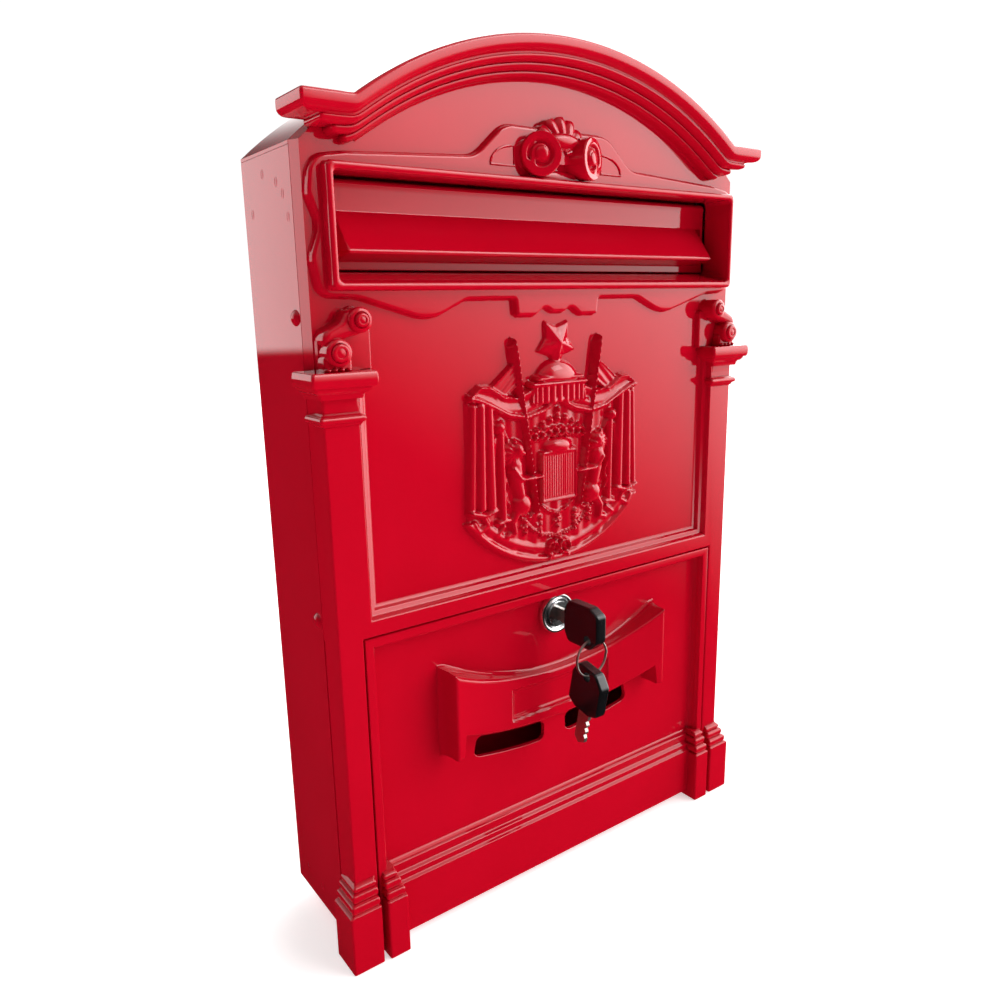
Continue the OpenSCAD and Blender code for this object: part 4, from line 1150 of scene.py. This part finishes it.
def weld_marks():
    """Shallow spot-weld marks on both sides, near the roof's folded tabs."""
    marks = [(22, 348), (36, 352.5), (16, 343), (50, 338), (12, 334), (30, 20), (46, 22)]
    half_y, half_z, rise, turn = 1.5, 2.3, 0.22, circle(20)
    shapes = []
    for y, z in marks:
        for side in (-1, 1):
            rows = []
            for t in np.linspace(0.05, 1, 6):
                x = np.full(len(turn), side * (BODY_HALF + rise * (1 - t * t) - 0.02))
                rows.append(np.stack([x, y + half_y * t * np.cos(turn), z + half_z * t * np.sin(turn)], 1))
            shapes.append(loft(rows))
    return cast("weld_marks", join(*shapes), finish=SHEET_RED)


def finish_frame_parts():
    """Gives the parts carried over from the frame their finishes and softened edges."""
    finishes = (
        (SHEET_RED, {"body_shell": 0.35, "roof_panel": 0.25, "floor_panel": 0.25, "side_rivets": 0.2}),
        (ZINC, {"flap_rod": 0.2, "flap_bracket_left": 0.2, "flap_bracket_right": 0.2, "bracket_screws": 0.2,
                "rod_clips": 0.1, "hinge_pin_left": 0.2, "hinge_pin_right": 0.2, "lock_nut": 0.3,
                "lock_cam": 0.2, "cam_washer": 0.1, "cam_screw": 0.2}),
        (CHROME, {"lock_plug": 0.25}),
        (NICKEL, {"key_blade": 0.1, "spare_key_blade": 0.04}))
    for finish, name, width in [(finish, *part) for finish, parts in finishes for part in parts.items()]:
        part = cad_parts[name]
        part.data.materials.clear()
        part.data.materials.append(finish)
        joined = part.modifiers.new("joined_corners", "WELD")
        joined.merge_threshold = 2e-6
        soften_edges(part, width, 32)
        even = part.modifiers.new("even_shading", "WEIGHTED_NORMAL")
        even.keep_sharp = False


# ---- studio ------------------------------------------------------------------------

def camera():
    """Left of the box and level with its upper half, looking right and a little down."""
    data = bpy.data.cameras.new("camera")
    data.lens = 30.08
    data.sensor_width = 36
    data.clip_start = 0.01
    view = bpy.data.objects.new("camera", data)
    to_right, downwards, roll = 35.776, 13.297, 1.096
    turn = Matrix.Rotation(math.radians(-to_right), 4, "Z")
    turn @= Matrix.Rotation(math.radians(90 - downwards), 4, "X")
    turn @= Matrix.Rotation(math.radians(-roll), 4, "Z")
    view.matrix_world = Matrix.Translation((-0.260946, -0.374255, 0.099685)) @ turn
    bpy.context.scene.collection.objects.link(view)
    bpy.context.scene.camera = view


def floor():
    """Plain pale floor under the feet."""
    low, size = CAD_BOX[0].z - 0.0006, 3.0
    mesh = bpy.data.meshes.new("floor")
    mesh.from_pydata([(-size, -size, low), (size, -size, low), (size, size, low), (-size, size, low)], [],
                     [(0, 1, 2, 3)])
    finish, shader, _ = plain_finish("pale_floor", (0.9, 0.9, 0.9), 0.8)
    shader.inputs["Emission Color"].default_value = (1, 1, 1, 1)
    shader.inputs["Emission Strength"].default_value = 0.5
    mesh.materials.append(finish)
    ground = bpy.data.objects.new("floor", mesh)
    ground.visible_glossy = False
    bpy.context.scene.collection.objects.link(ground)


def softbox(name, place_at, look_at, width, height, watts):
    """A rectangular lamp that faces a point."""
    data = bpy.data.lights.new(name, "AREA")
    data.shape = "RECTANGLE"
    data.size, data.size_y, data.energy = width, height, watts
    light = bpy.data.objects.new(name, data)
    light.location = place_at
    light.rotation_euler = (Vector(look_at) - Vector(place_at)).to_track_quat("-Z", "Y").to_euler()
    bpy.context.scene.collection.objects.link(light)


def studio_walls():
    """A pale room seen in the gloss: bright above the table's edge, dim below it."""
    world = bpy.data.worlds.new("studio")
    bpy.context.scene.world = world
    world.use_nodes = True
    nodes, links = world.node_tree.nodes, world.node_tree.links
    nodes.clear()
    where = nodes.new("ShaderNodeTexCoord")
    split = nodes.new("ShaderNodeSeparateXYZ")
    links.new(where.outputs["Generated"], split.inputs["Vector"])

    def ramp(source, low, high, bottom=0.0, top=1.0):
        step = nodes.new("ShaderNodeMapRange")
        step.interpolation_type = "SMOOTHSTEP"
        for label, value in (("From Min", low), ("From Max", high), ("To Min", bottom), ("To Max", top)):
            step.inputs[label].default_value = value
        links.new(split.outputs[source] if isinstance(source, str) else source, step.inputs["Value"])
        return step.outputs["Result"]

    def combine(kind, first, second):
        node = nodes.new("ShaderNodeMath")
        node.operation = kind
        for socket, value in zip(node.inputs, (first, second)):
            if isinstance(value, float):
                socket.default_value = value
            else:
                links.new(value, socket)
        return node.outputs["Value"]

    rise = combine("ADD", split.outputs["Z"], combine("MULTIPLY", split.outputs["X"], 0.8))
    right = combine("MULTIPLY", combine("MULTIPLY", ramp("X", 0.15, 0.5), ramp("Z", 1.15, 0.3)),
                    ramp(rise, 0.2, 0.88, 0.0, 4.8))
    behind = combine("MULTIPLY", combine("MULTIPLY", ramp("X", -0.1, -0.3), ramp("Y", 0.35, 0.55)),
                     combine("MULTIPLY", ramp("Z", -0.055, -0.043, 0.0, 2.0), ramp("Z", 0.8, 0.4)))
    above = ramp("Z", 0.3, 0.8, 0.0, 0.45)
    total = combine("ADD", combine("ADD", right, behind), combine("ADD", above, 0.015))
    room = nodes.new("ShaderNodeBackground")
    links.new(total, room.inputs["Strength"])
    white = nodes.new("ShaderNodeBackground")
    white.inputs["Color"].default_value = (1, 1, 1, 1)
    white.inputs["Strength"].default_value = 1.05
    room.inputs["Color"].default_value = (1, 0.99, 0.98, 1)
    seen = nodes.new("ShaderNodeLightPath")
    mix = nodes.new("ShaderNodeMixShader")
    out = nodes.new("ShaderNodeOutputWorld")
    links.new(seen.outputs["Is Camera Ray"], mix.inputs["Fac"])
    links.new(room.outputs["Background"], mix.inputs[1])
    links.new(white.outputs["Background"], mix.inputs[2])
    links.new(mix.outputs["Shader"], out.inputs["Surface"])
    softbox("key_light", (0.9, -1.3, 1.3), (0, 0, 0), 0.9, 0.7, 6.4)
    bpy.context.scene.view_settings.view_transform = "Standard"


# ---- the whole post box ------------------------------------------------------------

camera()
studio_walls()
floor()

front = face_plate()
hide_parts("fascia")
pilaster_frame()
panel_moulding()
cornice()
cartouche()
pediment()
scroll_bracket()
capital()
case_feet()
crest()
letter_flap()
door_plate()
door_feet()
door_lugs()
ribbon()
lock_body()
split_ring()
key_bow("key_bow", "key", (-17.8, -5.9), 0.0)
key_bow("spare_key_bow", "spare_key", (-20.9, 0.0), math.radians(12 - 90))
weld_marks()
finish_frame_parts()
